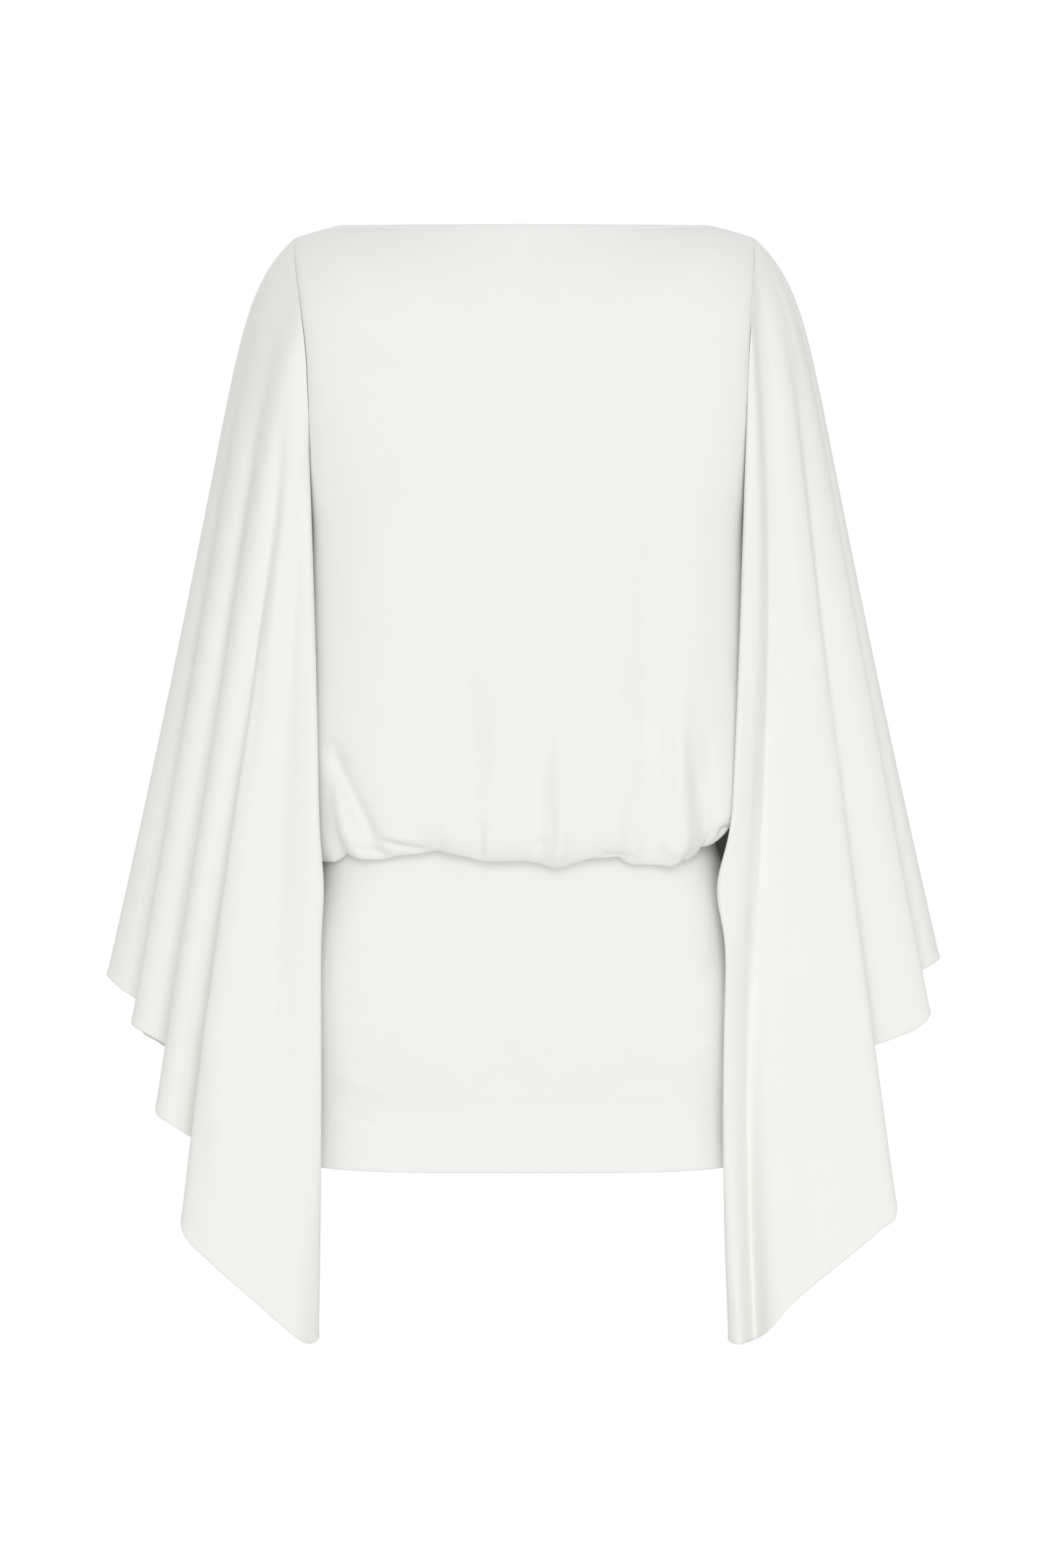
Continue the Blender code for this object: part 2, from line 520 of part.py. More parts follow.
def cloth_wall(name, surface, us, vs, outward, closed=False, thickness=None):
    """Make a wall by moving the surface's points half the cloth's thickness out and in.

    Points on the side-seam plane move only along it, so that the two panels' edges face each
    other squarely. Outward is 1 or -1, the way that the surface's own normals have to turn.
    """
    u, v = np.meshgrid(us, vs)
    middle = surface(u, v)
    normal = outward * surface_normal(surface, u, v)
    if not closed:
        on_seam = np.abs(middle[..., 1]) < SEAM_GAP
        normal[..., 1] = np.where(on_seam, 0, normal[..., 1])
        normal /= np.linalg.norm(normal, axis=-1, keepdims=True)
    layers = np.full(len(vs), CLOTH) if thickness is None else np.array(thickness)
    half = normal * layers[:, None, None] / 2
    points = np.concatenate([(middle + half).reshape(-1, 3), (middle - half).reshape(-1, 3)])
    mesh = bpy.data.meshes.new(name)
    faces = wall_faces(len(vs), len(us), closed, outward < 0)
    mesh.from_pydata(points.tolist(), [], faces)
    mesh.update()
    mesh.shade_smooth()
    mesh.set_sharp_from_angle(angle=np.radians(50))
    mesh.materials.append(cloth_material(name + "_cloth"))
    piece = bpy.data.objects.new(name, mesh)
    bpy.context.collection.objects.link(piece)
    return piece


def cloth_material(name):
    """Opaque white crepe."""
    material = bpy.data.materials.new(name)
    material.use_nodes = True
    shader = material.node_tree.nodes["Principled BSDF"]
    shader.inputs["Base Color"].default_value = CLOTH_COLOUR
    shader.inputs["Roughness"].default_value = CLOTH_ROUGHNESS
    shader.inputs["Metallic"].default_value = 0.0
    return material


def torso_columns():
    """Angles of the grid lines: one falls on each neck point, and the rest are even between."""
    angle = neck_point()[1]
    shoulder = np.linspace(0, angle, SHOULDER_COLUMNS, endpoint=False)
    neck = np.linspace(angle, np.pi / 2, NECK_COLUMNS, endpoint=False)
    half = np.concatenate([shoulder, neck])
    return np.concatenate([half, [np.pi / 2], np.pi - half[::-1]])


def hem_rows(rows, length):
    """Close a list of row places at the hem, with one row where the turned-up cloth begins."""
    return [*rows, 1 - HEM_HEIGHT / length, 1]


def make_bodice(face):
    levels = [drop / UNDERARM_DROP for drop in YOKE_ROWS]
    levels += list(np.linspace(1, 2, SIDE_ROWS + 1))
    levels += [2 + row for row in LIP_ROWS]
    outward = -1 if face == "back" else 1
    return cloth_wall("bodice_" + face, lambda u, v: bodice(face, u, v), torso_columns(), levels,
                      outward)


def make_skirt(face):
    drops = [*SKIRT_ROWS, SKIRT_HEM_DROP - HEM_HEIGHT, SKIRT_HEM_DROP]
    thickness = [CLOTH] * (len(drops) - 2) + [HEM_CLOTH] * 2
    outward = -1 if face == "back" else 1
    return cloth_wall("skirt_" + face, lambda u, v: skirt(face, u, v), torso_columns(), drops,
                      outward, thickness=thickness)


def make_sleeve(side):
    rows = hem_table(side)
    count = len(rows["x"])
    us = np.arange(count * COLUMNS_PER_HEM_ROW) / COLUMNS_PER_HEM_ROW
    vs = hem_rows(SLEEVE_ROWS, SHORTEST_SLEEVE)
    thickness = [CLOTH] * (len(vs) - 2) + [HEM_CLOTH] * 2
    outward = -1 if side == "left" else 1
    return cloth_wall("sleeve_" + side, lambda u, v: sleeve(side, u, v), us, vs, outward,
                      closed=True, thickness=thickness)


def make_neck_band():
    us = np.arange(4 * NECK_COLUMNS) / (2 * NECK_COLUMNS)
    vs = [0, 0.5, 1]
    return cloth_wall("neck_binding", neck_band, us, vs, 1, closed=True,
                      thickness=[CLOTH, NECK_BAND_CLOTH, NECK_BAND_CLOTH])


def main():
    for old in list(bpy.data.objects):
        bpy.data.objects.remove(old, do_unlink=True)
    shoulders = bpy.data.objects.new("shoulder_line", None)
    bpy.context.collection.objects.link(shoulders)
    pieces = [make_bodice(face) for face in ("back", "front")]
    pieces += [make_sleeve(side) for side in ("left", "right")]
    pieces += [make_skirt(face) for face in ("back", "front")]
    pieces.append(make_neck_band())
    for piece in pieces:
        piece.parent = shoulders


main()
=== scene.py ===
# %% [markdown]
# # A white mini dress with long cape sleeves
#
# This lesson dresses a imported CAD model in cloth. The model has one closed solid for each cut
# piece: two bodice panels, two sleeves, two skirt panels and the band round the neck. Here each
# solid is replaced by a thinner and finer shell on the same form, with its creases, hem and crepe.

import bpy
import numpy as np
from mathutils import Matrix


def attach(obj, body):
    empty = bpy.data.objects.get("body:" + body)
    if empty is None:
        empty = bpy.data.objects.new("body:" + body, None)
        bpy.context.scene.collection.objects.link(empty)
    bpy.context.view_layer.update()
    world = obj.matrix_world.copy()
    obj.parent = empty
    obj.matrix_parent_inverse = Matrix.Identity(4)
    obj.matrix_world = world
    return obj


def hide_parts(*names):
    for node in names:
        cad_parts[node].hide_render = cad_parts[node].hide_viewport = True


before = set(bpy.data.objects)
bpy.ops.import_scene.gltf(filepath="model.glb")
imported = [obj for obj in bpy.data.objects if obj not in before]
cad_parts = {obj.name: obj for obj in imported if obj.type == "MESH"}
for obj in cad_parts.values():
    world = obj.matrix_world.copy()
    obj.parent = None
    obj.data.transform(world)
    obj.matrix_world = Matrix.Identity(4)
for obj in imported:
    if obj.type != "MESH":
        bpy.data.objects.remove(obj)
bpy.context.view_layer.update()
print("CAD nodes:", ", ".join(sorted(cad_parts)))

# %% [markdown]
# ## Tables and curves
#
# A garment could be sculpted, simulated or worked out. Worked out surfaces were chosen here,
# because the photograph shows where each pleat lies, and a formula puts it there exactly, on
# every run. The measures of the dress are short tables in metres. A drop is a distance below the
# shoulders, x runs to the wearer's right, and the dress's back faces -Y.

# %% Helpers for curves
def table(columns, rows):
    """One array for each named column."""
    return dict(zip(columns.split(), np.array(rows, dtype=float).T))


def ease(share):
    """3s^2 - 2s^3, a rise from 0 to 1 with level ends."""
    share = np.clip(share, 0, 1)
    return share * share * (3 - 2 * share)


def through(x, xs, ys):
    """Smooth curve through points: a cubic between neighbours, whose slope at each point is the
    harmonic mean of the slopes beside it, and 0 at a turning point, so that it never bulges."""
    x = np.clip(x, xs[0], xs[-1])
    step = np.diff(xs)
    slope = np.diff(ys) / step
    before, after = slope[:-1], slope[1:]
    turning = before * after <= 0
    harmonic = 2 * before * after / np.where(turning, 1, before + after)
    tangent = np.concatenate([slope[:1], np.where(turning, 0, harmonic), slope[-1:]])
    k = np.clip(np.searchsorted(xs, x, side="right") - 1, 0, len(step) - 1)
    t = (x - xs[k]) / step[k]
    start = ys[k] * (1 + 2 * t) + tangent[k] * step[k] * t
    end = ys[k + 1] * (3 - 2 * t) + tangent[k + 1] * step[k] * (t - 1)
    return start * (1 - t) ** 2 + end * t ** 2


def superellipse(theta, roundness):
    """x = -cos(theta) and y = (1 - |x|^n)^(1/n): half a superellipse of half width and depth 1."""
    across = -np.cos(theta)
    return across, np.clip(1 - np.abs(across) ** roundness, 0, 1) ** (1 / roundness)


# %% Measures of the dress
CLOTH = 0.0011
NECK_BAND_CLOTH = 0.0022
HEM_CLOTH = 0.0019
HEM_HEIGHT = 0.009
SEAM_GAP = 0.0001
CAD_CLOTH = 0.0016

NECK_HALF_LENGTH = 0.1530
NECK_DEPTH = 0.060
NECK_POINT_RISE = 0.0072
NECK_CENTRE_RISE = {"back": 0.0033, "front": -0.0080}
BAND_WIDTH = 0.0085
SHOULDER_HALF_WIDTH = 0.193
SHOULDER_TIP_RISE = -0.003
SHOULDER_CURVE = 1.4
YOKE_DROP = 0.085
UNDERARM_DROP = 0.246
SKIRT_TOP_DROP = 0.462
SKIRT_HEM_DROP = 0.785
LIP_ABOVE = 0.028
LIP_INSIDE = 0.016
SKIRT_ROUNDNESS = 5.0
TORSO_HALVES = (0.180, 0.120)
SKIRT_HALVES = (0.167, 0.110)
SEAM_ZONE = 0.0004

TORSO = table("drop left right back front roundness", [
    (0.000, 0.1930, 0.1930, 0.086, 0.084, 2.4),
    (0.025, 0.1910, 0.1920, 0.095, 0.094, 2.6),
    (0.065, 0.1855, 0.1885, 0.103, 0.105, 2.9),
    (0.107, 0.1805, 0.1860, 0.109, 0.115, 3.1),
    (0.150, 0.1785, 0.1840, 0.112, 0.120, 3.2),
    (0.190, 0.1775, 0.1830, 0.113, 0.121, 3.2),
    (0.246, 0.1785, 0.1840, 0.114, 0.120, 3.2),
    (0.300, 0.1820, 0.1875, 0.117, 0.119, 3.3),
    (0.360, 0.1865, 0.1920, 0.121, 0.118, 3.5),
    (0.420, 0.1895, 0.1950, 0.126, 0.121, 3.6),
    (0.465, 0.1900, 0.1955, 0.130, 0.125, 3.6),
    (0.500, 0.1895, 0.1950, 0.132, 0.127, 3.5),
    (0.545, 0.1875, 0.1925, 0.131, 0.127, 3.5),
])

# How far the armhole edge stands back and forward of the shoulder seam, and how full the
# cloth beside it and under it is
ARMHOLE = table("drop setback fullness", [
    (0.000, 0.044, 0.044),
    (0.040, 0.062, 0.062),
    (0.090, 0.077, 0.077),
    (0.150, 0.080, 0.078),
    (0.190, 0.072, 0.070),
    (0.220, 0.050, 0.056),
    (0.238, 0.022, 0.045),
    (0.246, 0.000, 0.041),
    (0.290, 0.000, 0.024),
    (0.335, 0.000, 0.010),
    (0.380, 0.000, 0.000),
    (0.600, 0.000, 0.000),
])
SETBACK_POWER = 4
LIFT_POWER = 1.25

SKIRT = table("drop left right back front", [
    (0.462, 0.1650, 0.1560, 0.098, 0.094),
    (0.515, 0.1690, 0.1605, 0.102, 0.096),
    (0.529, 0.1710, 0.1650, 0.104, 0.097),
    (0.557, 0.1760, 0.1710, 0.107, 0.098),
    (0.590, 0.1825, 0.1750, 0.109, 0.098),
    (0.630, 0.1860, 0.1800, 0.110, 0.098),
    (0.660, 0.1865, 0.1825, 0.108, 0.097),
    (0.690, 0.1860, 0.1830, 0.104, 0.096),
    (0.715, 0.1855, 0.1825, 0.099, 0.095),
    (0.738, 0.1850, 0.1820, 0.095, 0.094),
    (0.785, 0.1850, 0.1820, 0.094, 0.094),
])
print("the skirt is", round(2000 * SKIRT["left"][-1]), "mm across at its hem")

# %% [markdown]
# ## The bodice
#
# The bodice is two loose panels that hang from the shoulders and blouse over the waist seam. Each
# could be a lofted tube. It is worked out as one panel instead, theta across it and level down
# it, so that the cloth runs on unbroken from the yoke, down the side and round under the blouson.

# %% The blouson's edge and the main folds
# Lower edge of the blouson, drooping unevenly over the waist seam
BLOUSON_EDGE = {
    "back": table("x drop", [
        (-0.193, 0.520), (-0.180, 0.526), (-0.166, 0.527), (-0.154, 0.520), (-0.147, 0.523),
        (-0.137, 0.525), (-0.126, 0.525), (-0.112, 0.522), (-0.092, 0.520), (-0.075, 0.5175),
        (-0.064, 0.520), (-0.047, 0.5235), (-0.037, 0.526), (-0.021, 0.5265), (-0.002, 0.526),
        (0.014, 0.528), (0.021, 0.530), (0.026, 0.532), (0.032, 0.531), (0.044, 0.528),
        (0.060, 0.524), (0.070, 0.5235), (0.085, 0.5225), (0.092, 0.527), (0.099, 0.529),
        (0.111, 0.529), (0.123, 0.530), (0.129, 0.531), (0.134, 0.529), (0.138, 0.526),
        (0.146, 0.525), (0.152, 0.522), (0.157, 0.515), (0.164, 0.514), (0.170, 0.5105),
        (0.176, 0.504), (0.182, 0.494), (0.190, 0.495), (0.198, 0.505),
    ]),
    "front": table("x drop", [
        (-0.193, 0.535), (-0.178, 0.550), (-0.160, 0.546), (-0.138, 0.528), (-0.116, 0.518),
        (-0.088, 0.521), (-0.060, 0.528), (-0.036, 0.524), (-0.012, 0.529), (0.008, 0.519),
        (0.040, 0.523), (0.066, 0.531), (0.090, 0.522), (0.118, 0.526), (0.138, 0.532),
        (0.154, 0.548), (0.170, 0.572), (0.182, 0.574), (0.191, 0.550), (0.198, 0.520),
    ]),
}

# Main folds of the bodice: a path in three points, a half width, and a height out of the cloth
FOLD_COLUMNS = "top_x top_drop mid_x mid_drop low_x low_drop width height"
BODICE_FOLDS = {
    "back": table(FOLD_COLUMNS, [
        (0.117, 0.110, 0.104, 0.340, 0.106, 0.535, 0.014, -0.0050),
        (0.140, 0.330, 0.124, 0.450, 0.129, 0.535, 0.011, 0.0050),
        (0.140, 0.420, 0.148, 0.475, 0.155, 0.535, 0.009, -0.0050),
        (0.036, 0.380, 0.030, 0.465, 0.026, 0.535, 0.012, 0.0050),
        (0.020, 0.420, 0.016, 0.480, 0.014, 0.535, 0.009, -0.0045),
        (-0.070, 0.240, -0.047, 0.410, -0.042, 0.535, 0.016, -0.0030),
        (-0.162, 0.410, -0.143, 0.478, -0.120, 0.535, 0.010, -0.0060),
        (-0.156, 0.430, -0.148, 0.480, -0.136, 0.535, 0.010, 0.0050),
        (-0.014, 0.300, -0.020, 0.430, -0.022, 0.535, 0.014, 0.0030),
        (0.074, 0.280, 0.076, 0.420, 0.078, 0.535, 0.013, 0.0028),
    ]),
    "front": table(FOLD_COLUMNS, [
        (-0.120, 0.150, -0.112, 0.360, -0.116, 0.535, 0.014, -0.0045),
        (-0.146, 0.360, -0.137, 0.460, -0.136, 0.535, 0.011, 0.0050),
        (-0.048, 0.320, -0.058, 0.440, -0.060, 0.535, 0.013, 0.0045),
        (-0.030, 0.380, -0.034, 0.470, -0.036, 0.535, 0.011, -0.0040),
        (0.020, 0.300, 0.010, 0.440, 0.008, 0.535, 0.013, -0.0045),
        (0.072, 0.260, 0.066, 0.430, 0.066, 0.535, 0.015, 0.0045),
        (0.100, 0.180, 0.096, 0.400, 0.092, 0.535, 0.013, -0.0040),
        (0.134, 0.340, 0.124, 0.460, 0.122, 0.535, 0.011, 0.0050),
        (0.150, 0.400, 0.148, 0.480, 0.144, 0.535, 0.009, -0.0045),
    ]),
}
FOLD_FADE = 0.35
print(len(BODICE_FOLDS["back"]["width"]), "main folds on the back")

# %% Sections of the torso
def torso_section(face, theta, drop):
    """Distance across and depth of the bodice at one height.

    x = -half width * cos(theta) and y = depth * w + lift * (1 - w)^1.25, where w is the
    superellipse's own depth. The lift is the setback at the ends, which lie on the armhole's
    edge, and goes over to the fullness beside them as (1 - w)^4.
    """
    left = through(drop, TORSO["drop"], TORSO["left"])
    right = through(drop, TORSO["drop"], TORSO["right"])
    depth = through(drop, TORSO["drop"], TORSO[face])
    setback = through(drop, ARMHOLE["drop"], ARMHOLE["setback"])
    fullness = through(drop, ARMHOLE["drop"], ARMHOLE["fullness"])
    roundness = through(drop, TORSO["drop"], TORSO["roundness"])
    across, round_off = superellipse(theta, roundness)
    x = across * np.where(across < 0, left, right)
    aside = 1 - round_off
    lift = fullness + (setback - fullness) * aside ** SETBACK_POWER
    return x, depth * round_off + lift * aside ** LIFT_POWER


def skirt_section(face, theta, drop):
    """Distance across and depth of the skirt at one height, the same superellipse, no setback."""
    left = through(drop, SKIRT["drop"], SKIRT["left"])
    right = through(drop, SKIRT["drop"], SKIRT["right"])
    depth = through(drop, SKIRT["drop"], SKIRT[face])
    across, round_off = superellipse(theta, SKIRT_ROUNDNESS)
    return across * np.where(across < 0, left, right), depth * round_off


# How much the neck line deepens and falls for each metre that it is let out
BAND_LEAN = 0.8
BAND_FALL = 0.7
SHOULDER_LENGTH = SHOULDER_HALF_WIDTH - NECK_HALF_LENGTH


def top_line(face, x, inset):
    """Depth and height of neck edge and shoulder seam at x: a parabola between the neck points,
    let out by inset, and beyond them a slope that steepens towards the shoulder tip."""
    half = NECK_HALF_LENGTH + inset
    inside = np.clip(1 - (x / half) ** 2, 0, 1)
    along = np.clip((np.abs(x) - NECK_HALF_LENGTH) / SHOULDER_LENGTH, 0, 1)
    slope = NECK_POINT_RISE + (SHOULDER_TIP_RISE - NECK_POINT_RISE) * along ** SHOULDER_CURVE
    dip = (NECK_CENTRE_RISE[face] - NECK_POINT_RISE) - BAND_FALL * inset
    return (NECK_DEPTH + BAND_LEAN * inset) * inside, slope + dip * inside


def outwards(x, y, side, depth):
    """Unit direction out of a superellipse-like section at a point of it."""
    out_x = x / side ** 2
    out_y = y / depth ** 2
    length = np.maximum(np.hypot(out_x, out_y), 1e-9)
    return out_x / length, out_y / length


# %% Main folds and draped panel
def folds(face, x, drop):
    """Sum of bells: height * exp(-((x - path) / width)^2), each rising in from its top end."""
    rows = BODICE_FOLDS[face]
    total = np.zeros(np.broadcast(x, drop).shape)
    for k in range(len(rows["width"])):
        drops = np.array([rows["top_drop"][k], rows["mid_drop"][k], rows["low_drop"][k]])
        places = np.array([rows["top_x"][k], rows["mid_x"][k], rows["low_x"][k]])
        middle = through(drop, drops, places)
        strength = ease((drop - drops[0]) / (drops[1] - drops[0]))
        total += rows["height"][k] * strength * np.exp(-((x - middle) / rows["width"][k]) ** 2)
    return total


def draped_section(face, theta, drop):
    """Torso section with the main folds added, which die away towards the side seams."""
    x, y = torso_section(face, theta, drop)
    out_x, out_y = outwards(x, y, *TORSO_HALVES)
    height = folds(face, x, drop) * ease(np.sin(theta) / FOLD_FADE)
    return x + out_x * height, y + out_y * height


def on_face(face, x, y, z):
    """Put a panel on the back or the front, half a seam's gap off the side-seam plane."""
    turned = y + SEAM_GAP / 2
    return np.stack([x, -turned if face == "back" else turned, z], axis=-1)


# How steeply the yoke turns down at the shoulder seams and at the middle of the neck
SEAM_STEEPNESS = 0.5
NECK_STEEPNESS = 0.9


def bodice(face, theta, level):
    """Level 0 to 1 is the yoke, shoulder seam blending into the draped section as
    (1 - (1 - s)^2)^steepness; 1 to 2 the side; 2 to 3 half an ellipse down, in and up again."""
    theta = np.clip(theta, 0, np.pi)
    drop = UNDERARM_DROP * np.clip(level, 0, 1)
    gone = np.clip(drop / YOKE_DROP, 0, 1)
    top_x = torso_section(face, theta, 0 * drop)[0]
    seam_y, seam_z = top_line(face, top_x, BAND_WIDTH)
    at_neck = np.clip(1 - (top_x / NECK_HALF_LENGTH) ** 2, 0, 1)
    steepness = SEAM_STEEPNESS + (NECK_STEEPNESS - SEAM_STEEPNESS) * at_neck
    blend = (1 - (1 - gone) ** 2) ** steepness
    fold_x, fold_y = draped_section(face, theta, drop)
    yoke = (fold_x, (1 - blend) * seam_y + blend * fold_y, seam_z * (1 - gone) - drop)
    edge = BLOUSON_EDGE[face]
    lowest = through(torso_section(face, theta, 0 * drop + 0.5)[0], edge["x"], edge["drop"])
    lip_start = lowest - LIP_ABOVE
    side_drop = UNDERARM_DROP + (lip_start - UNDERARM_DROP) * np.clip(level - 1, 0, 1)
    side = (*draped_section(face, theta, side_drop), -side_drop)
    turn = np.pi * np.clip(level - 2, 0, 1)
    height = np.where(turn < np.pi / 2, LIP_ABOVE, LIP_INSIDE)
    lip_drop = lowest - height * (1 - np.sin(turn))
    outer_x, outer_y = draped_section(face, theta, np.maximum(lip_drop, lip_start))
    inner_x, inner_y = skirt_section(face, theta, lip_drop)
    out_x, out_y = outwards(inner_x, inner_y, *SKIRT_HALVES)
    inner_x = inner_x + out_x * (CAD_CLOTH + SEAM_GAP)
    inner_y = inner_y + out_y * (CAD_CLOTH + SEAM_GAP)
    weight = (1 + np.cos(turn)) / 2
    lip = (inner_x + (outer_x - inner_x) * weight, inner_y + (outer_y - inner_y) * weight, -lip_drop)
    x, y, z = (np.select([level <= 1, level <= 2], [a, b], c) for a, b, c in zip(yoke, side, lip))
    return on_face(face, x, y, z)


# %% [markdown]
# ## Skirt and neck band
#
# The skirt is a short straight tube of two panels, and the neck is finished with a narrow band of
# the same crepe. Both follow the same sections as the bodice, so that they meet it at the seams.

# %% Skirt and neck band surfaces
def skirt(face, theta, drop):
    """Skirt panel: the skirt's section at each drop, down to the straight hem."""
    return on_face(face, *skirt_section(face, np.clip(theta, 0, np.pi), drop), -drop)


def neck_point():
    """Share of the shoulders' half width where the bodice's neck point lies, and its angle."""
    share = (NECK_HALF_LENGTH + BAND_WIDTH) / SHOULDER_HALF_WIDTH
    return share, np.arccos(share)


def neck_band(around, across):
    """The strip between the neck line and the same line let out by the band's width: around 0 to
    1 is the back from left to right, 1 to 2 the front, and across runs from outside in."""
    is_back = around % 2 < 1
    swing = np.where(is_back, around % 2, 2 - around % 2)
    share, angle = neck_point()
    reach = -np.cos(angle + (np.pi - 2 * angle) * swing) / share
    inset = (BAND_WIDTH - SEAM_GAP) * (1 - across)
    x = reach * (NECK_HALF_LENGTH + inset)
    back_y, back_z = top_line("back", x, inset)
    front_y, front_z = top_line("front", x, inset)
    y = np.where(is_back, -back_y, front_y)
    z = np.where(is_back, back_z, front_z)
    return np.stack([x, y, z], axis=-1)


# %% [markdown]
# ## The cape sleeves
#
# Each sleeve is one wide flare that falls from the armhole in deep pleats, to a slanting hem with
# handkerchief points. A cloth simulation would drop it into pleats of its own, not into those of
# the photograph. So the hem is a closed curve through named rows, in the order of the pleats, and
# every line of the cloth runs from its place on the armhole down to its place on the hem.

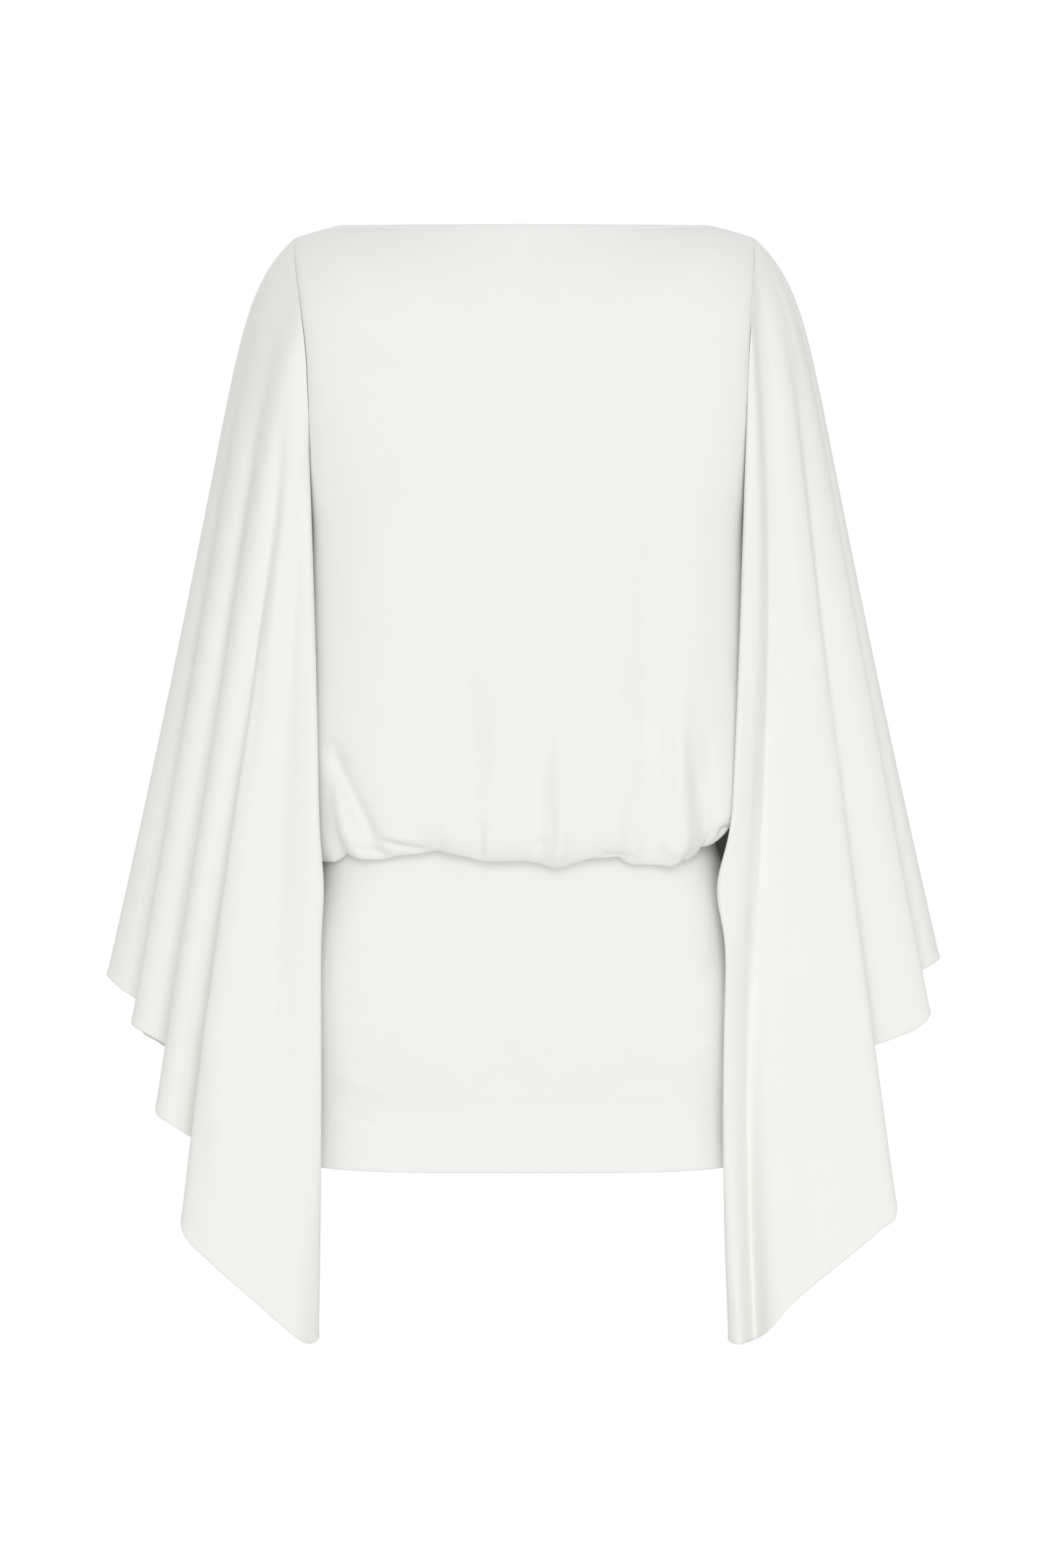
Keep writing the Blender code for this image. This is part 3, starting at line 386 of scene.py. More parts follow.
# %% The sleeves' hem rows
# Sleeve hems, once round: down the pleats on the back, under the arm, up those on the front.
# Turn is the place along the armhole, from 0 at the shoulder tip by 1 at the underarm to 2.
# Kick is the share of the way out that is gone at the shoulder. Bow and swell are how far a line
# bends out to the side and along Y halfway down, and sway how far it bends out and then back.
SLEEVE_COLUMNS = "x y z turn kick bow swell sway"
SLEEVE_HEM = {
    "left": [
        ("outer edge", -0.3525, 0.004, -0.624, 0.00, 0.23, -0.0025, 0.000, 0.000),
        ("first face", -0.340, -0.012, -0.635, 0.03, 0.22, -0.002, 0.000, 0.000),
        ("first tuck", -0.321, -0.020, -0.649, 0.07, 0.20, 0.000, 0.000, 0.000),
        ("second edge", -0.329, -0.040, -0.663, 0.12, 0.17, 0.001, 0.000, 0.000),
        ("second face", -0.315, -0.052, -0.672, 0.17, 0.14, 0.002, 0.000, 0.000),
        ("second tuck", -0.290, -0.045, -0.691, 0.23, 0.12, 0.002, 0.000, 0.000),
        ("third edge", -0.307, -0.072, -0.733, 0.30, 0.10, 0.003, -0.004, 0.000),
        ("third face", -0.292, -0.084, -0.746, 0.36, 0.09, 0.003, -0.006, 0.000),
        ("third tuck", -0.264, -0.068, -0.773, 0.46, 0.08, 0.004, -0.006, 0.000),
        ("main edge", -0.285, -0.098, -0.826, 0.56, 0.04, 0.008, -0.010, 0.000),
        ("main face", -0.261, -0.110, -0.856, 0.59, 0.04, 0.006, -0.012, 0.000),
        ("main middle", -0.224, -0.108, -0.889, 0.62, 0.03, 0.003, -0.012, 0.000),
        ("main inside", -0.191, -0.100, -0.919, 0.66, 0.02, 0.001, -0.024, 0.000),
        ("tip", -0.178, -0.088, -0.927, 0.70, 0.00, -0.005, -0.036, 0.000),
        ("inner edge", -0.1712, -0.074, -0.921, 0.77, 0.00, -0.0085, -0.043, 0.000),
        ("inner wall behind", -0.196, -0.050, -0.908, 0.88, 0.26, 0.015, -0.017, 0.000),
        ("inner wall", -0.202, 0.000, -0.902, 1.00, 0.32, 0.014, 0.000, 0.000),
        ("inner wall before", -0.196, 0.048, -0.903, 1.12, 0.26, 0.013, 0.014, 0.000),
        ("front inner edge", -0.179, 0.070, -0.905, 1.23, 0.00, 0.004, 0.042, 0.000),
        ("front tip", -0.189, 0.086, -0.898, 1.29, 0.00, 0.002, 0.034, 0.000),
        ("front inside", -0.212, 0.098, -0.889, 1.34, 0.02, 0.002, 0.022, 0.000),
        ("front main face", -0.243, 0.103, -0.866, 1.39, 0.03, 0.004, 0.012, 0.000),
        ("front main edge", -0.277, 0.095, -0.842, 1.44, 0.05, 0.008, 0.013, 0.000),
        ("front third tuck", -0.256, 0.066, -0.796, 1.53, 0.08, 0.004, 0.001, 0.000),
        ("front third face", -0.283, 0.077, -0.764, 1.62, 0.10, 0.003, 0.005, 0.000),
        ("front third edge", -0.300, 0.064, -0.750, 1.69, 0.11, 0.003, 0.004, 0.000),
        ("front second tuck", -0.284, 0.040, -0.708, 1.77, 0.12, 0.002, 0.000, 0.000),
        ("front second face", -0.310, 0.048, -0.684, 1.83, 0.14, 0.002, 0.000, 0.000),
        ("front second edge", -0.326, 0.036, -0.672, 1.88, 0.15, 0.002, 0.000, 0.000),
        ("front first tuck", -0.312, 0.019, -0.650, 1.93, 0.20, 0.000, 0.000, 0.000),
        ("front first face", -0.340, 0.017, -0.635, 1.97, 0.22, -0.002, 0.000, 0.000),
    ],
    "right": [
        ("outer edge", 0.3505, 0.004, -0.610, 0.00, 0.23, -0.0025, 0.000, 0.000),
        ("first face", 0.342, -0.012, -0.616, 0.02, 0.23, -0.0025, 0.000, 0.000),
        ("first tuck", 0.316, -0.021, -0.631, 0.04, 0.21, 0.000, 0.000, 0.000),
        ("second edge", 0.340, -0.042, -0.653, 0.06, 0.20, 0.000, 0.000, 0.000),
        ("second face", 0.326, -0.054, -0.668, 0.08, 0.20, 0.000, 0.000, 0.000),
        ("second inside", 0.302, -0.058, -0.678, 0.10, 0.19, 0.000, 0.000, 0.000),
        ("second tuck", 0.276, -0.056, -0.698, 0.12, 0.20, 0.000, 0.000, 0.000),
        ("main edge", 0.3085, -0.088, -0.809, 0.15, 0.20, 0.000, 0.000, 0.000),
        ("main face", 0.295, -0.100, -0.831, 0.17, 0.19, 0.000, 0.000, 0.000),
        ("main middle", 0.258, -0.108, -0.861, 0.19, 0.17, 0.000, 0.000, 0.000),
        ("main inside", 0.222, -0.106, -0.891, 0.22, 0.14, 0.000, 0.000, 0.002),
        ("main rim", 0.203, -0.100, -0.914, 0.26, 0.08, 0.000, 0.000, 0.006),
        ("groove", 0.193, -0.072, -0.924, 0.32, 0.04, 0.000, -0.014, 0.007),
        ("strip edge", 0.184, -0.086, -0.926, 0.40, 0.02, 0.000, -0.016, 0.006),
        ("strip ridge", 0.177, -0.092, -0.927, 0.52, 0.00, -0.005, -0.021, 0.004),
        ("inner edge", 0.1697, -0.078, -0.923, 0.74, 0.00, -0.0095, -0.033, 0.0025),
        ("inner wall behind", 0.196, -0.050, -0.905, 0.88, 0.23, 0.015, -0.017, 0.003),
        ("inner wall", 0.202, 0.000, -0.899, 1.00, 0.26, 0.014, 0.000, 0.000),
        ("inner wall before", 0.196, 0.048, -0.900, 1.12, 0.23, 0.013, 0.014, 0.000),
        ("front inner edge", 0.178, 0.070, -0.903, 1.24, 0.00, -0.002, 0.042, 0.000),
        ("front tip", 0.191, 0.088, -0.894, 1.32, 0.00, 0.002, 0.034, 0.000),
        ("front inside", 0.217, 0.101, -0.883, 1.38, 0.02, 0.002, 0.022, 0.000),
        ("front main face", 0.252, 0.103, -0.855, 1.44, 0.04, 0.004, 0.010, 0.000),
        ("front main edge", 0.288, 0.090, -0.826, 1.50, 0.08, 0.006, 0.008, 0.000),
        ("front third tuck", 0.258, 0.072, -0.778, 1.58, 0.10, 0.004, 0.005, 0.000),
        ("front third face", 0.285, 0.067, -0.742, 1.66, 0.12, 0.003, 0.004, 0.000),
        ("front third edge", 0.299, 0.056, -0.728, 1.72, 0.13, 0.003, 0.002, 0.000),
        ("front second tuck", 0.284, 0.038, -0.690, 1.78, 0.15, 0.000, 0.000, 0.000),
        ("front second face", 0.318, 0.046, -0.668, 1.84, 0.16, 0.000, 0.000, 0.000),
        ("front second edge", 0.334, 0.034, -0.655, 1.89, 0.17, 0.000, 0.000, 0.000),
        ("front first tuck", 0.314, 0.017, -0.632, 1.94, 0.21, 0.000, 0.000, 0.000),
        ("front first face", 0.341, 0.015, -0.618, 1.97, 0.23, -0.0025, 0.000, 0.000),
    ],
}
KICK_LENGTH = 0.055
FOLD_GROWTH = 1.4
SMOOTH_WAVES = 3
ARMHOLE_POINTS = 200
TIP_CLOTH_SHARE = 0.3
# Where the sleeves are caught in beside the blouson, over how many rows, how far up and down and
# how deep
TUCK_DROP = 0.548
TUCK_ROWS = 1.2
TUCK_REACH = 0.035
TUCK_DEPTH = {"left": 0.003, "right": 0.010}
print({side: len(rows) for side, rows in SLEEVE_HEM.items()}, "rows round the hems")

# %% Sleeve surface
def armhole(side, turn):
    """Point of the sleeve's armhole edge, beside the bodice's own edge by a seam's gap and a
    share of the cloth: 0.3 at the shoulder tip, and all of it at the underarm."""
    turn = turn % 2
    place = np.where(turn <= 1, turn, 2 - turn)
    levels = np.linspace(0, 1, ARMHOLE_POINTS)
    theta = 0.0 if side == "left" else np.pi
    edge = bodice("back", theta + 0 * levels, levels)
    length = np.concatenate([[0], np.cumsum(np.linalg.norm(np.diff(edge, axis=0), axis=1))])
    x, y, z = (np.interp(place, length / length[-1], edge[:, k]) for k in range(3))
    beside = SEAM_GAP + CLOTH * (1 - (1 - TIP_CLOTH_SHARE) * (1 - place) ** 3)
    away = -1 if side == "left" else 1
    return np.stack([x + away * beside, np.where(turn <= 1, y, -y), z], axis=-1)


def hem_table(side):
    """The sleeve's hem rows as columns."""
    return table(SLEEVE_COLUMNS, [row[1:] for row in SLEEVE_HEM[side]])


def round_spline(u, values):
    """Closed Catmull-Rom curve through values, one row to each whole number of u."""
    count = len(values)
    k = np.floor(u).astype(int)
    t = u - k
    a, b, c, d = (values[(k + shift) % count] for shift in (-1, 0, 1, 2))
    return b + t * (c - a) / 2 + t ** 2 * (a - 2.5 * b + 2 * c - d / 2) + t ** 3 * (
        1.5 * (b - c) + (d - a) / 2)


def smooth_round(u, values):
    """The first Fourier waves of that curve: the hem before it is pleated."""
    count = len(values)
    samples = round_spline(np.arange(0, count, 0.125), values)
    waves = np.fft.rfft(samples)[: SMOOTH_WAVES + 1] / len(samples)
    phase = 2 * np.pi * u / count
    total = np.full(np.shape(u), waves[0].real)
    for k in range(1, SMOOTH_WAVES + 1):
        total = total + 2 * (waves[k].real * np.cos(k * phase) - waves[k].imag * np.sin(k * phase))
    return total


def sleeve(side, u, v):
    """start + (plain hem - start) * out + (hem - plain hem) * v^1.4 + bend, where out is partly a
    quick kick at the shoulder, kick * (1 - e^(-v / length)), and the rest is even."""
    rows = hem_table(side)
    count = len(rows["x"])
    cycle = np.arange(-2, count + 3)
    turns = rows["turn"][cycle % count] + 2 * (cycle // count)
    start = armhole(side, through(u % count, cycle, turns))
    kick, bow, swell, sway = (
        through(u % count, cycle, rows[name][cycle % count])
        for name in ("kick", "bow", "swell", "sway"))
    out = kick * (1 - np.exp(-v / KICK_LENGTH)) + (1 - kick) * v
    arch = 4 * v * (1 - v)
    away = -1 if side == "left" else 1
    aside = away * (bow * arch + sway * np.sin(2 * np.pi * v))
    place = []
    for axis, bend in (("x", aside), ("y", swell * arch)):
        hem = round_spline(u, rows[axis])
        plain = smooth_round(u, rows[axis])
        begin = start[..., len(place)]
        place.append(begin + (plain - begin) * out + (hem - plain) * v ** FOLD_GROWTH + bend)
    z = start[..., 2] + (round_spline(u, rows["z"]) - start[..., 2]) * v
    return np.stack([*place, z], axis=-1)


def tuck_under(side, points, u):
    """Move the cloth round the inner edge inwards, as where it is caught under the blouson's
    corner: depth * e^-(rows off / 1.2)^2 * e^-(height off / 35 mm)^2."""
    inner_row = [row[0] for row in SLEEVE_HEM[side]].index("inner edge")
    rows_off = (u - inner_row) / TUCK_ROWS
    height_off = (points[..., 2] + TUCK_DROP) / TUCK_REACH
    bell = np.exp(-rows_off ** 2 - height_off ** 2)
    return points - np.sign(points[..., :1]) * [TUCK_DEPTH[side], 0, 0] * bell[..., None]


# %% [markdown]
# ## Creases
#
# Real crepe never hangs quite smooth. The small creases could come from a noise texture, but then
# they would be even and everywhere. Here they are placed one by one, as strokes: each runs from one
# point to another as seen on the photograph, bends a little, and pushes the cloth out or in.

# %% A stroke of crease
STROKE_COLUMNS = "x0 drop0 x1 drop1 bend width height"
STROKE_FADE = 0.3
FACING_START = 0.05
FACING_SPAN = 0.5


def strokes(rows, x, drop):
    """Sum of height * exp(-(s / width)^2) * window(t): t runs along a stroke from end to end, s
    is the distance beside its bent line, and the window eases in and out at both ends."""
    total = np.zeros(np.shape(x))
    for k in range(len(rows["width"])):
        start = np.array([rows["x0"][k], rows["drop0"][k]])
        along = np.array([rows["x1"][k], rows["drop1"][k]]) - start
        length = np.hypot(*along)
        along = along / length
        t = ((x - start[0]) * along[0] + (drop - start[1]) * along[1]) / length
        s = (x - start[0]) * along[1] - (drop - start[1]) * along[0]
        s = s - rows["bend"][k] * 4 * t * (1 - t)
        window = ease(t / STROKE_FADE) * ease((1 - t) / STROKE_FADE)
        total += rows["height"][k] * window * np.exp(-(s / rows["width"][k]) ** 2)
    return total


# %% Creases of each face, in metres
CREASES = {
    "bodice_back": table(STROKE_COLUMNS, [
        (0.120, 0.120, 0.110, 0.500, 0.004, 0.009, -0.0016),
        (0.127, 0.400, 0.134, 0.540, 0.000, 0.006, 0.0018),
        (0.150, 0.410, 0.160, 0.520, 0.000, 0.006, -0.0020),
        (0.026, 0.390, 0.030, 0.500, 0.002, 0.007, 0.0012),
        (0.010, 0.440, 0.012, 0.535, 0.000, 0.006, -0.0014),
        (-0.072, 0.250, -0.042, 0.480, 0.004, 0.012, -0.0014),
        (-0.161, 0.424, -0.116, 0.518, -0.005, 0.0055, -0.0045),
        (-0.152, 0.450, -0.142, 0.518, -0.003, 0.005, 0.0030),
        (-0.124, 0.508, -0.074, 0.518, -0.002, 0.003, -0.0030),
        (-0.122, 0.502, -0.084, 0.509, -0.002, 0.003, 0.0018),
        (-0.143, 0.515, -0.110, 0.522, 0.001, 0.003, -0.0020),
        (-0.072, 0.470, -0.062, 0.520, 0.002, 0.007, 0.0012),
        (-0.036, 0.490, -0.036, 0.530, 0.000, 0.003, -0.0015),
        (-0.029, 0.490, -0.030, 0.530, 0.000, 0.003, 0.0013),
        (0.022, 0.474, 0.024, 0.522, 0.000, 0.004, -0.0020),
        (0.031, 0.495, 0.026, 0.530, 0.000, 0.004, 0.0016),
        (0.006, 0.517, 0.020, 0.509, 0.001, 0.003, -0.0016),
        (0.060, 0.430, 0.066, 0.515, 0.002, 0.007, 0.0012),
        (0.058, 0.520, 0.096, 0.523, -0.001, 0.003, -0.0020),
        (0.088, 0.460, 0.084, 0.524, 0.000, 0.005, -0.0012),
        (-0.005, 0.470, -0.010, 0.530, 0.000, 0.005, 0.0014),
        (0.112, 0.505, 0.132, 0.522, -0.003, 0.004, 0.0018),
        (0.158, 0.522, 0.168, 0.495, -0.003, 0.005, -0.0060),
    ]),
    "bodice_front": table(STROKE_COLUMNS, [
        (-0.130, 0.130, -0.112, 0.500, -0.004, 0.010, -0.0016),
        (0.110, 0.140, 0.096, 0.500, 0.004, 0.010, -0.0016),
        (-0.060, 0.280, -0.040, 0.520, 0.004, 0.010, 0.0014),
        (0.050, 0.300, 0.040, 0.525, 0.002, 0.009, 0.0014),
        (0.152, 0.420, 0.122, 0.520, 0.005, 0.006, -0.0035),
        (-0.160, 0.440, -0.130, 0.520, -0.004, 0.006, -0.0030),
        (0.004, 0.430, 0.000, 0.530, 0.000, 0.006, -0.0016),
        (-0.092, 0.470, -0.086, 0.530, 0.000, 0.005, 0.0014),
        (0.080, 0.480, 0.078, 0.530, 0.000, 0.005, -0.0012),
    ]),
    "skirt_back": table(STROKE_COLUMNS, [
        (-0.165, 0.700, -0.100, 0.732, 0.004, 0.006, 0.0009),
        (-0.160, 0.735, -0.110, 0.752, 0.002, 0.005, -0.0007),
        (0.168, 0.600, 0.120, 0.640, 0.004, 0.007, -0.0008),
        (0.166, 0.665, 0.130, 0.690, 0.002, 0.006, 0.0007),
        (-0.080, 0.500, -0.090, 0.600, 0.003, 0.010, 0.0009),
        (0.040, 0.500, 0.050, 0.580, 0.000, 0.009, 0.0008),
        (0.100, 0.700, 0.095, 0.780, 0.000, 0.012, 0.0010),
        (-0.050, 0.690, -0.055, 0.780, 0.000, 0.014, 0.0010),
    ]),
    "skirt_front": table(STROKE_COLUMNS, [
        (-0.160, 0.640, -0.060, 0.600, 0.006, 0.008, 0.0009),
        (0.160, 0.650, 0.070, 0.610, 0.006, 0.008, 0.0009),
        (0.060, 0.500, 0.075, 0.600, 0.003, 0.010, 0.0008),
        (-0.050, 0.500, -0.055, 0.590, 0.000, 0.009, -0.0007),
    ]),
    "sleeve_back": table(STROKE_COLUMNS, [
        (-0.192, 0.090, -0.222, 0.420, 0.006, 0.007, 0.0022),
        (-0.198, 0.130, -0.235, 0.500, 0.004, 0.006, -0.0018),
        (-0.206, 0.180, -0.260, 0.560, 0.004, 0.008, 0.0014),
        (-0.262, 0.620, -0.252, 0.820, 0.004, 0.012, 0.0024),
        (-0.238, 0.640, -0.232, 0.850, 0.004, 0.010, -0.0022),
        (-0.232, 0.110, -0.285, 0.480, 0.005, 0.012, 0.0016),
        (0.212, 0.050, 0.240, 0.420, -0.004, 0.010, 0.0014),
        (0.245, 0.300, 0.275, 0.760, 0.003, 0.014, -0.0014),
        (0.222, 0.500, 0.236, 0.860, 0.002, 0.010, 0.0012),
    ]),
    "sleeve_front": table(STROKE_COLUMNS, [
        (-0.200, 0.120, -0.240, 0.520, 0.005, 0.008, 0.0020),
        (-0.225, 0.300, -0.250, 0.800, 0.005, 0.012, -0.0016),
        (0.204, 0.100, 0.246, 0.540, -0.004, 0.009, 0.0018),
        (0.230, 0.320, 0.258, 0.800, 0.003, 0.012, -0.0014),
    ]),
}
print(sum(len(rows["width"]) for rows in CREASES.values()), "strokes")

# %% [markdown]
# ## From surface to cloth
#
# Blender's Solidify modifier could thicken a sheet. The walls are built here instead, because the
# hem is two layers thick and its edge is rounded. Points move along the sheet's own normals, half
# the thickness out and half in, and rims close the edges.

# %% Normals, lengths and faces of a grid
def grid_steps(points, closed):
    """Differences between neighbours, across the grid and down it."""
    if closed:
        across = np.roll(points, -1, axis=1) - np.roll(points, 1, axis=1)
    else:
        across = np.gradient(points, axis=1)
    return across, np.gradient(points, axis=0)


def grid_normals(points, closed, outward):
    """Unit normals, the cross product of the steps across and down."""
    normal = outward * np.cross(*grid_steps(points, closed))
    return normal / np.maximum(np.linalg.norm(normal, axis=-1, keepdims=True), 1e-15)


def cut_lengths(points, closed):
    """Metres along the cloth, across from the first column and down from the first row."""
    if closed:
        points = np.concatenate([points, points[:, :1]], axis=1)
    across = np.cumsum(np.linalg.norm(np.diff(points, axis=1), axis=-1), axis=1)
    down = np.cumsum(np.linalg.norm(np.diff(points, axis=0), axis=-1), axis=0)
    across = np.concatenate([0 * across[:, :1], across], axis=1)
    down = np.concatenate([0 * down[:1], down], axis=0)
    return across - across.mean(axis=1, keepdims=True), down


def wall_corners(rows, columns, closed):
    """Corners of the faces of a wall with two grids of points, and the cut place of each corner."""
    point = np.arange(rows * columns).reshape(rows, columns)
    wide = columns + 1 if closed else columns
    place = np.arange(rows * wide).reshape(rows, wide)
    if closed:
        point = np.concatenate([point, point[:, :1]], axis=1)
    inner = point + rows * columns

    def quads(a, b, c, d):
        return np.stack([a.ravel(), b.ravel(), c.ravel(), d.ravel()], axis=1)

    corners, places = [], []
    r, s = slice(0, -1), slice(1, None)
    corners.append(quads(point[r, r], point[r, s], point[s, s], point[s, r]))
    places.append(quads(place[r, r], place[r, s], place[s, s], place[s, r]))
    corners.append(quads(inner[r, r], inner[s, r], inner[s, s], inner[r, s]))
    places.append(quads(place[r, r], place[s, r], place[s, s], place[r, s]))
    corners.append(quads(point[0, s], point[0, r], inner[0, r], inner[0, s]))
    places.append(quads(place[0, s], place[0, r], place[0, r], place[0, s]))
    corners.append(quads(point[-1, r], point[-1, s], inner[-1, s], inner[-1, r]))
    places.append(quads(place[-1, r], place[-1, s], place[-1, s], place[-1, r]))
    if not closed:
        corners.append(quads(point[r, 0], point[s, 0], inner[s, 0], inner[r, 0]))
        places.append(quads(place[r, 0], place[s, 0], place[s, 0], place[r, 0]))
        corners.append(quads(point[s, -1], point[r, -1], inner[r, -1], inner[s, -1]))
        places.append(quads(place[s, -1], place[r, -1], place[r, -1], place[s, -1]))
    return np.concatenate(corners), np.concatenate(places)


# %% Make a wall of cloth
def cloth_wall(name, points, outward, closed=False, thickness=CLOTH):
    """Closed wall on a grid of points, half the thickness out and half in, with a UV map in
    metres of the cut. Outward is 1 or -1, the way that the grid's own normals have to turn. At
    the side seams they lie flat in the seam's plane, so that back and front meet."""
    normal = grid_normals(points, closed, outward)
    if not closed:
        on_seam = np.abs(points[..., 1]) < SEAM_ZONE
        normal[..., 1] = np.where(on_seam, 0, normal[..., 1])
        normal /= np.linalg.norm(normal, axis=-1, keepdims=True)
    half = normal * np.broadcast_to(thickness, points.shape[:2])[..., None] / 2
    both = np.concatenate([(points + half).reshape(-1, 3), (points - half).reshape(-1, 3)])
    corners, places = wall_corners(*points.shape[:2], closed)
    if outward < 0:
        corners, places = corners[:, ::-1], places[:, ::-1]
    mesh = bpy.data.meshes.new(name)
    mesh.from_pydata(both.tolist(), [], corners.tolist())
    across, down = cut_lengths(points, closed)
    cut = np.stack([across.ravel(), down.ravel()], axis=1)[places.ravel()]
    mesh.uv_layers.new(name="cut").data.foreach_set("uv", cut.ravel())
    mesh.shade_smooth()
    mesh.set_sharp_from_angle(angle=np.radians(60))
    piece = bpy.data.objects.new(name, mesh)
    bpy.context.collection.objects.link(piece)
    mesh.calc_loop_triangles()
    print(name, len(mesh.loop_triangles), "triangles")
    return piece


def flat_size(points, closed):
    """Widest length across, mean length down and area of a sheet's grid, in metres."""
    across, down = cut_lengths(points, closed)
    width = (across[:, -1] - across[:, 0]).max()
    ring = np.concatenate([points, points[:, :1]], axis=1) if closed else points
    side, fall = ring[:-1, 1:] - ring[:-1, :-1], ring[1:, :-1] - ring[:-1, :-1]
    area = np.linalg.norm(np.cross(side, fall), axis=-1).sum()
    return width, down[-1].max(), area


def crease(points, closed, outward, faces):
    """Move points along their normals by the strokes of the back, the front or both, each only
    as far as the cloth faces that way."""
    normal = grid_normals(points, closed, outward)
    moved = points
    for rows, way in faces:
        facing = ease((way * normal[..., 1] - FACING_START) / FACING_SPAN)
        height = strokes(CREASES[rows], points[..., 0], -points[..., 2]) * facing
        moved = moved + normal * height[..., None]
    return moved


def soften(points, times):
    """Average each point of a closed sheet with its neighbours across, 1-2-1, as cloth rounds a
    pleat's edge."""
    for _ in range(times):
        points = (np.roll(points, 1, axis=1) + 2 * points + np.roll(points, -1, axis=1)) / 4
    return points


# %% [markdown]
# ## The crepe
#
# The dress is a smooth, opaque stretch crepe: white with a warm cast, a matt surface with a soft
# sheen, and a fine pebbly grain that only shows from near. An image could give the grain, but a
# worked out one never repeats. It is read from the cut's own UV map, so that it follows the
# threads round every pleat.

# %% Shader expressions
class Wire:
    """One output socket in an expression. An operator adds the Math node that it stands for."""

    def __init__(self, socket):
        self.socket = socket
        self.tree = socket.id_data

    def node(self, kind, settings=None, inputs=None, output=0):
        return add_node(self.tree, kind, settings, inputs, output)

    def math(self, operation, *values):
        return self.node("ShaderNodeMath", {"operation": operation}, dict(enumerate(values)))

    def __add__(self, other):
        return self.math("ADD", self, other)

    def __sub__(self, other):
        return self.math("SUBTRACT", self, other)

    def __rsub__(self, other):
        return self.math("SUBTRACT", other, self)

    def __mul__(self, other):
        return self.math("MULTIPLY", self, other)

    __radd__ = __add__
    __rmul__ = __mul__


def add_node(tree, kind, settings=None, inputs=None, output=0):
    """Any node: its type, its settings, then the values or links of its sockets."""
    node = tree.nodes.new(kind)
    for name, value in (settings or {}).items():
        setattr(node, name, value)
    for name, value in (inputs or {}).items():
        if isinstance(value, Wire):
            tree.links.new(value.socket, node.inputs[name])
        else:
            node.inputs[name].default_value = value
    return Wire(node.outputs[output])


# %% Crepe material
PEBBLES_PER_METRE = 1300.0
PEBBLE_STRETCH = 0.55
YARNS_PER_METRE = 700.0
YARN_STRETCH = 0.06
YARN_SHARE = 0.3
CLOUD_TONE = 0.03
GRAIN_TONE = 0.04
GRAIN_HEIGHT = 0.0003
GRAIN_STRENGTH = 0.25
MATT = 0.66
MATT_RANGE = 0.3


def crepe(name, white, tone_size):
    """White crepe: pebbles of about a millimetre, drawn out along the threads, with 0.3 of finer
    yarn lines, give the bump, a trace of tone and the roughness, and clouds of tone_size metres
    a second trace of tone."""
    material = bpy.data.materials.new(name)
    material.use_nodes = True
    tree = material.node_tree
    shader = tree.nodes["Principled BSDF"]
    cut = add_node(tree, "ShaderNodeUVMap", {"uv_map": "cut"})
    flat = {"noise_dimensions": "2D"}
    threads = cut.node("ShaderNodeMapping", None, {"Vector": cut, "Scale": (1, PEBBLE_STRETCH, 1)})
    pebbles = cut.node("ShaderNodeTexNoise", flat, {
        "Vector": threads, "Scale": PEBBLES_PER_METRE, "Detail": 2.0, "Roughness": 0.6})
    lines = cut.node("ShaderNodeMapping", None, {"Vector": cut, "Scale": (1, YARN_STRETCH, 1)})
    yarns = cut.node("ShaderNodeTexNoise", flat, {
        "Vector": lines, "Scale": YARNS_PER_METRE, "Detail": 1.0})
    clouds = cut.node("ShaderNodeTexNoise", flat, {
        "Vector": cut, "Scale": 1 / tone_size, "Detail": 2.0})
    grain = pebbles * (1 - YARN_SHARE) + yarns * YARN_SHARE
    shade = 1 + (clouds - 0.5) * CLOUD_TONE + (grain - 0.5) * GRAIN_TONE
    colour = cut.node("ShaderNodeVectorMath", {"operation": "SCALE"}, {0: white, "Scale": shade})
    bump = cut.node("ShaderNodeBump", None, {
        "Strength": GRAIN_STRENGTH, "Distance": GRAIN_HEIGHT, "Height": grain})
    dull = MATT + (grain - 0.5) * MATT_RANGE
    for socket, value in (("Base Color", colour), ("Roughness", dull), ("Normal", bump)):
        tree.links.new(value.socket, shader.inputs[socket])
    shader.inputs["Specular IOR Level"].default_value = 0.35
    shader.inputs["Sheen Weight"].default_value = 0.2
    shader.inputs["Sheen Roughness"].default_value = 0.5
    return material


CREPE = crepe("white_crepe", (0.90, 0.897, 0.882), 0.06)
# The sleeves are the same crepe, painted a little lighter and warmer. This is painted light for the
# glow through the thin sleeves and the creamy highlights on their pleats.
SLEEVE_CREPE_PAINTED_LIGHT = crepe("white_crepe_sleeves_painted_light", (0.91, 0.906, 0.878), 0.06)
BINDING = crepe("white_crepe_band", (0.905, 0.902, 0.888), 0.03)
print("materials:", CREPE.name, SLEEVE_CREPE_PAINTED_LIGHT.name, BINDING.name)

# %% [markdown]
# ## Making the pieces
#
# Every piece is laid out on a fine grid, softened, creased and given its thickness. It then takes
# the place of its CAD node, rides on the same body, and says what sheet it was cut from.

# %% Finish a piece
def finish_piece(piece, node, material):
    """Dress a piece and put it in its CAD node's place."""
    piece.data.materials.append(material)
    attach(piece, "root")
    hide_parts(node)


def cut_from(grid, closed):
    """State the sheet that a piece was cut from, with the size and area of its grid."""
    width, length, area = flat_size(grid, closed)
    print("  cut", round(width, 3), "by", round(length, 3), "m,", round(area, 4), "square metres")


HEM_STEP = 0.006
EDGE_ROUNDING = 0.0008
EDGE_LEAST = 0.12


def hem_thickness(down, end):
    """Cloth, then two layers over the hem's height, rounded off at the very edge as the square
    root of the distance from it."""
    doubled = CLOTH + (HEM_CLOTH - CLOTH) * ease((down - (end - HEM_HEIGHT)) / HEM_STEP)
    return doubled * np.sqrt(np.clip((end - down) / EDGE_ROUNDING, EDGE_LEAST, 1))


def panel_columns(count):
    """Even angles from seam to seam."""
    return np.linspace(0, np.pi, count)


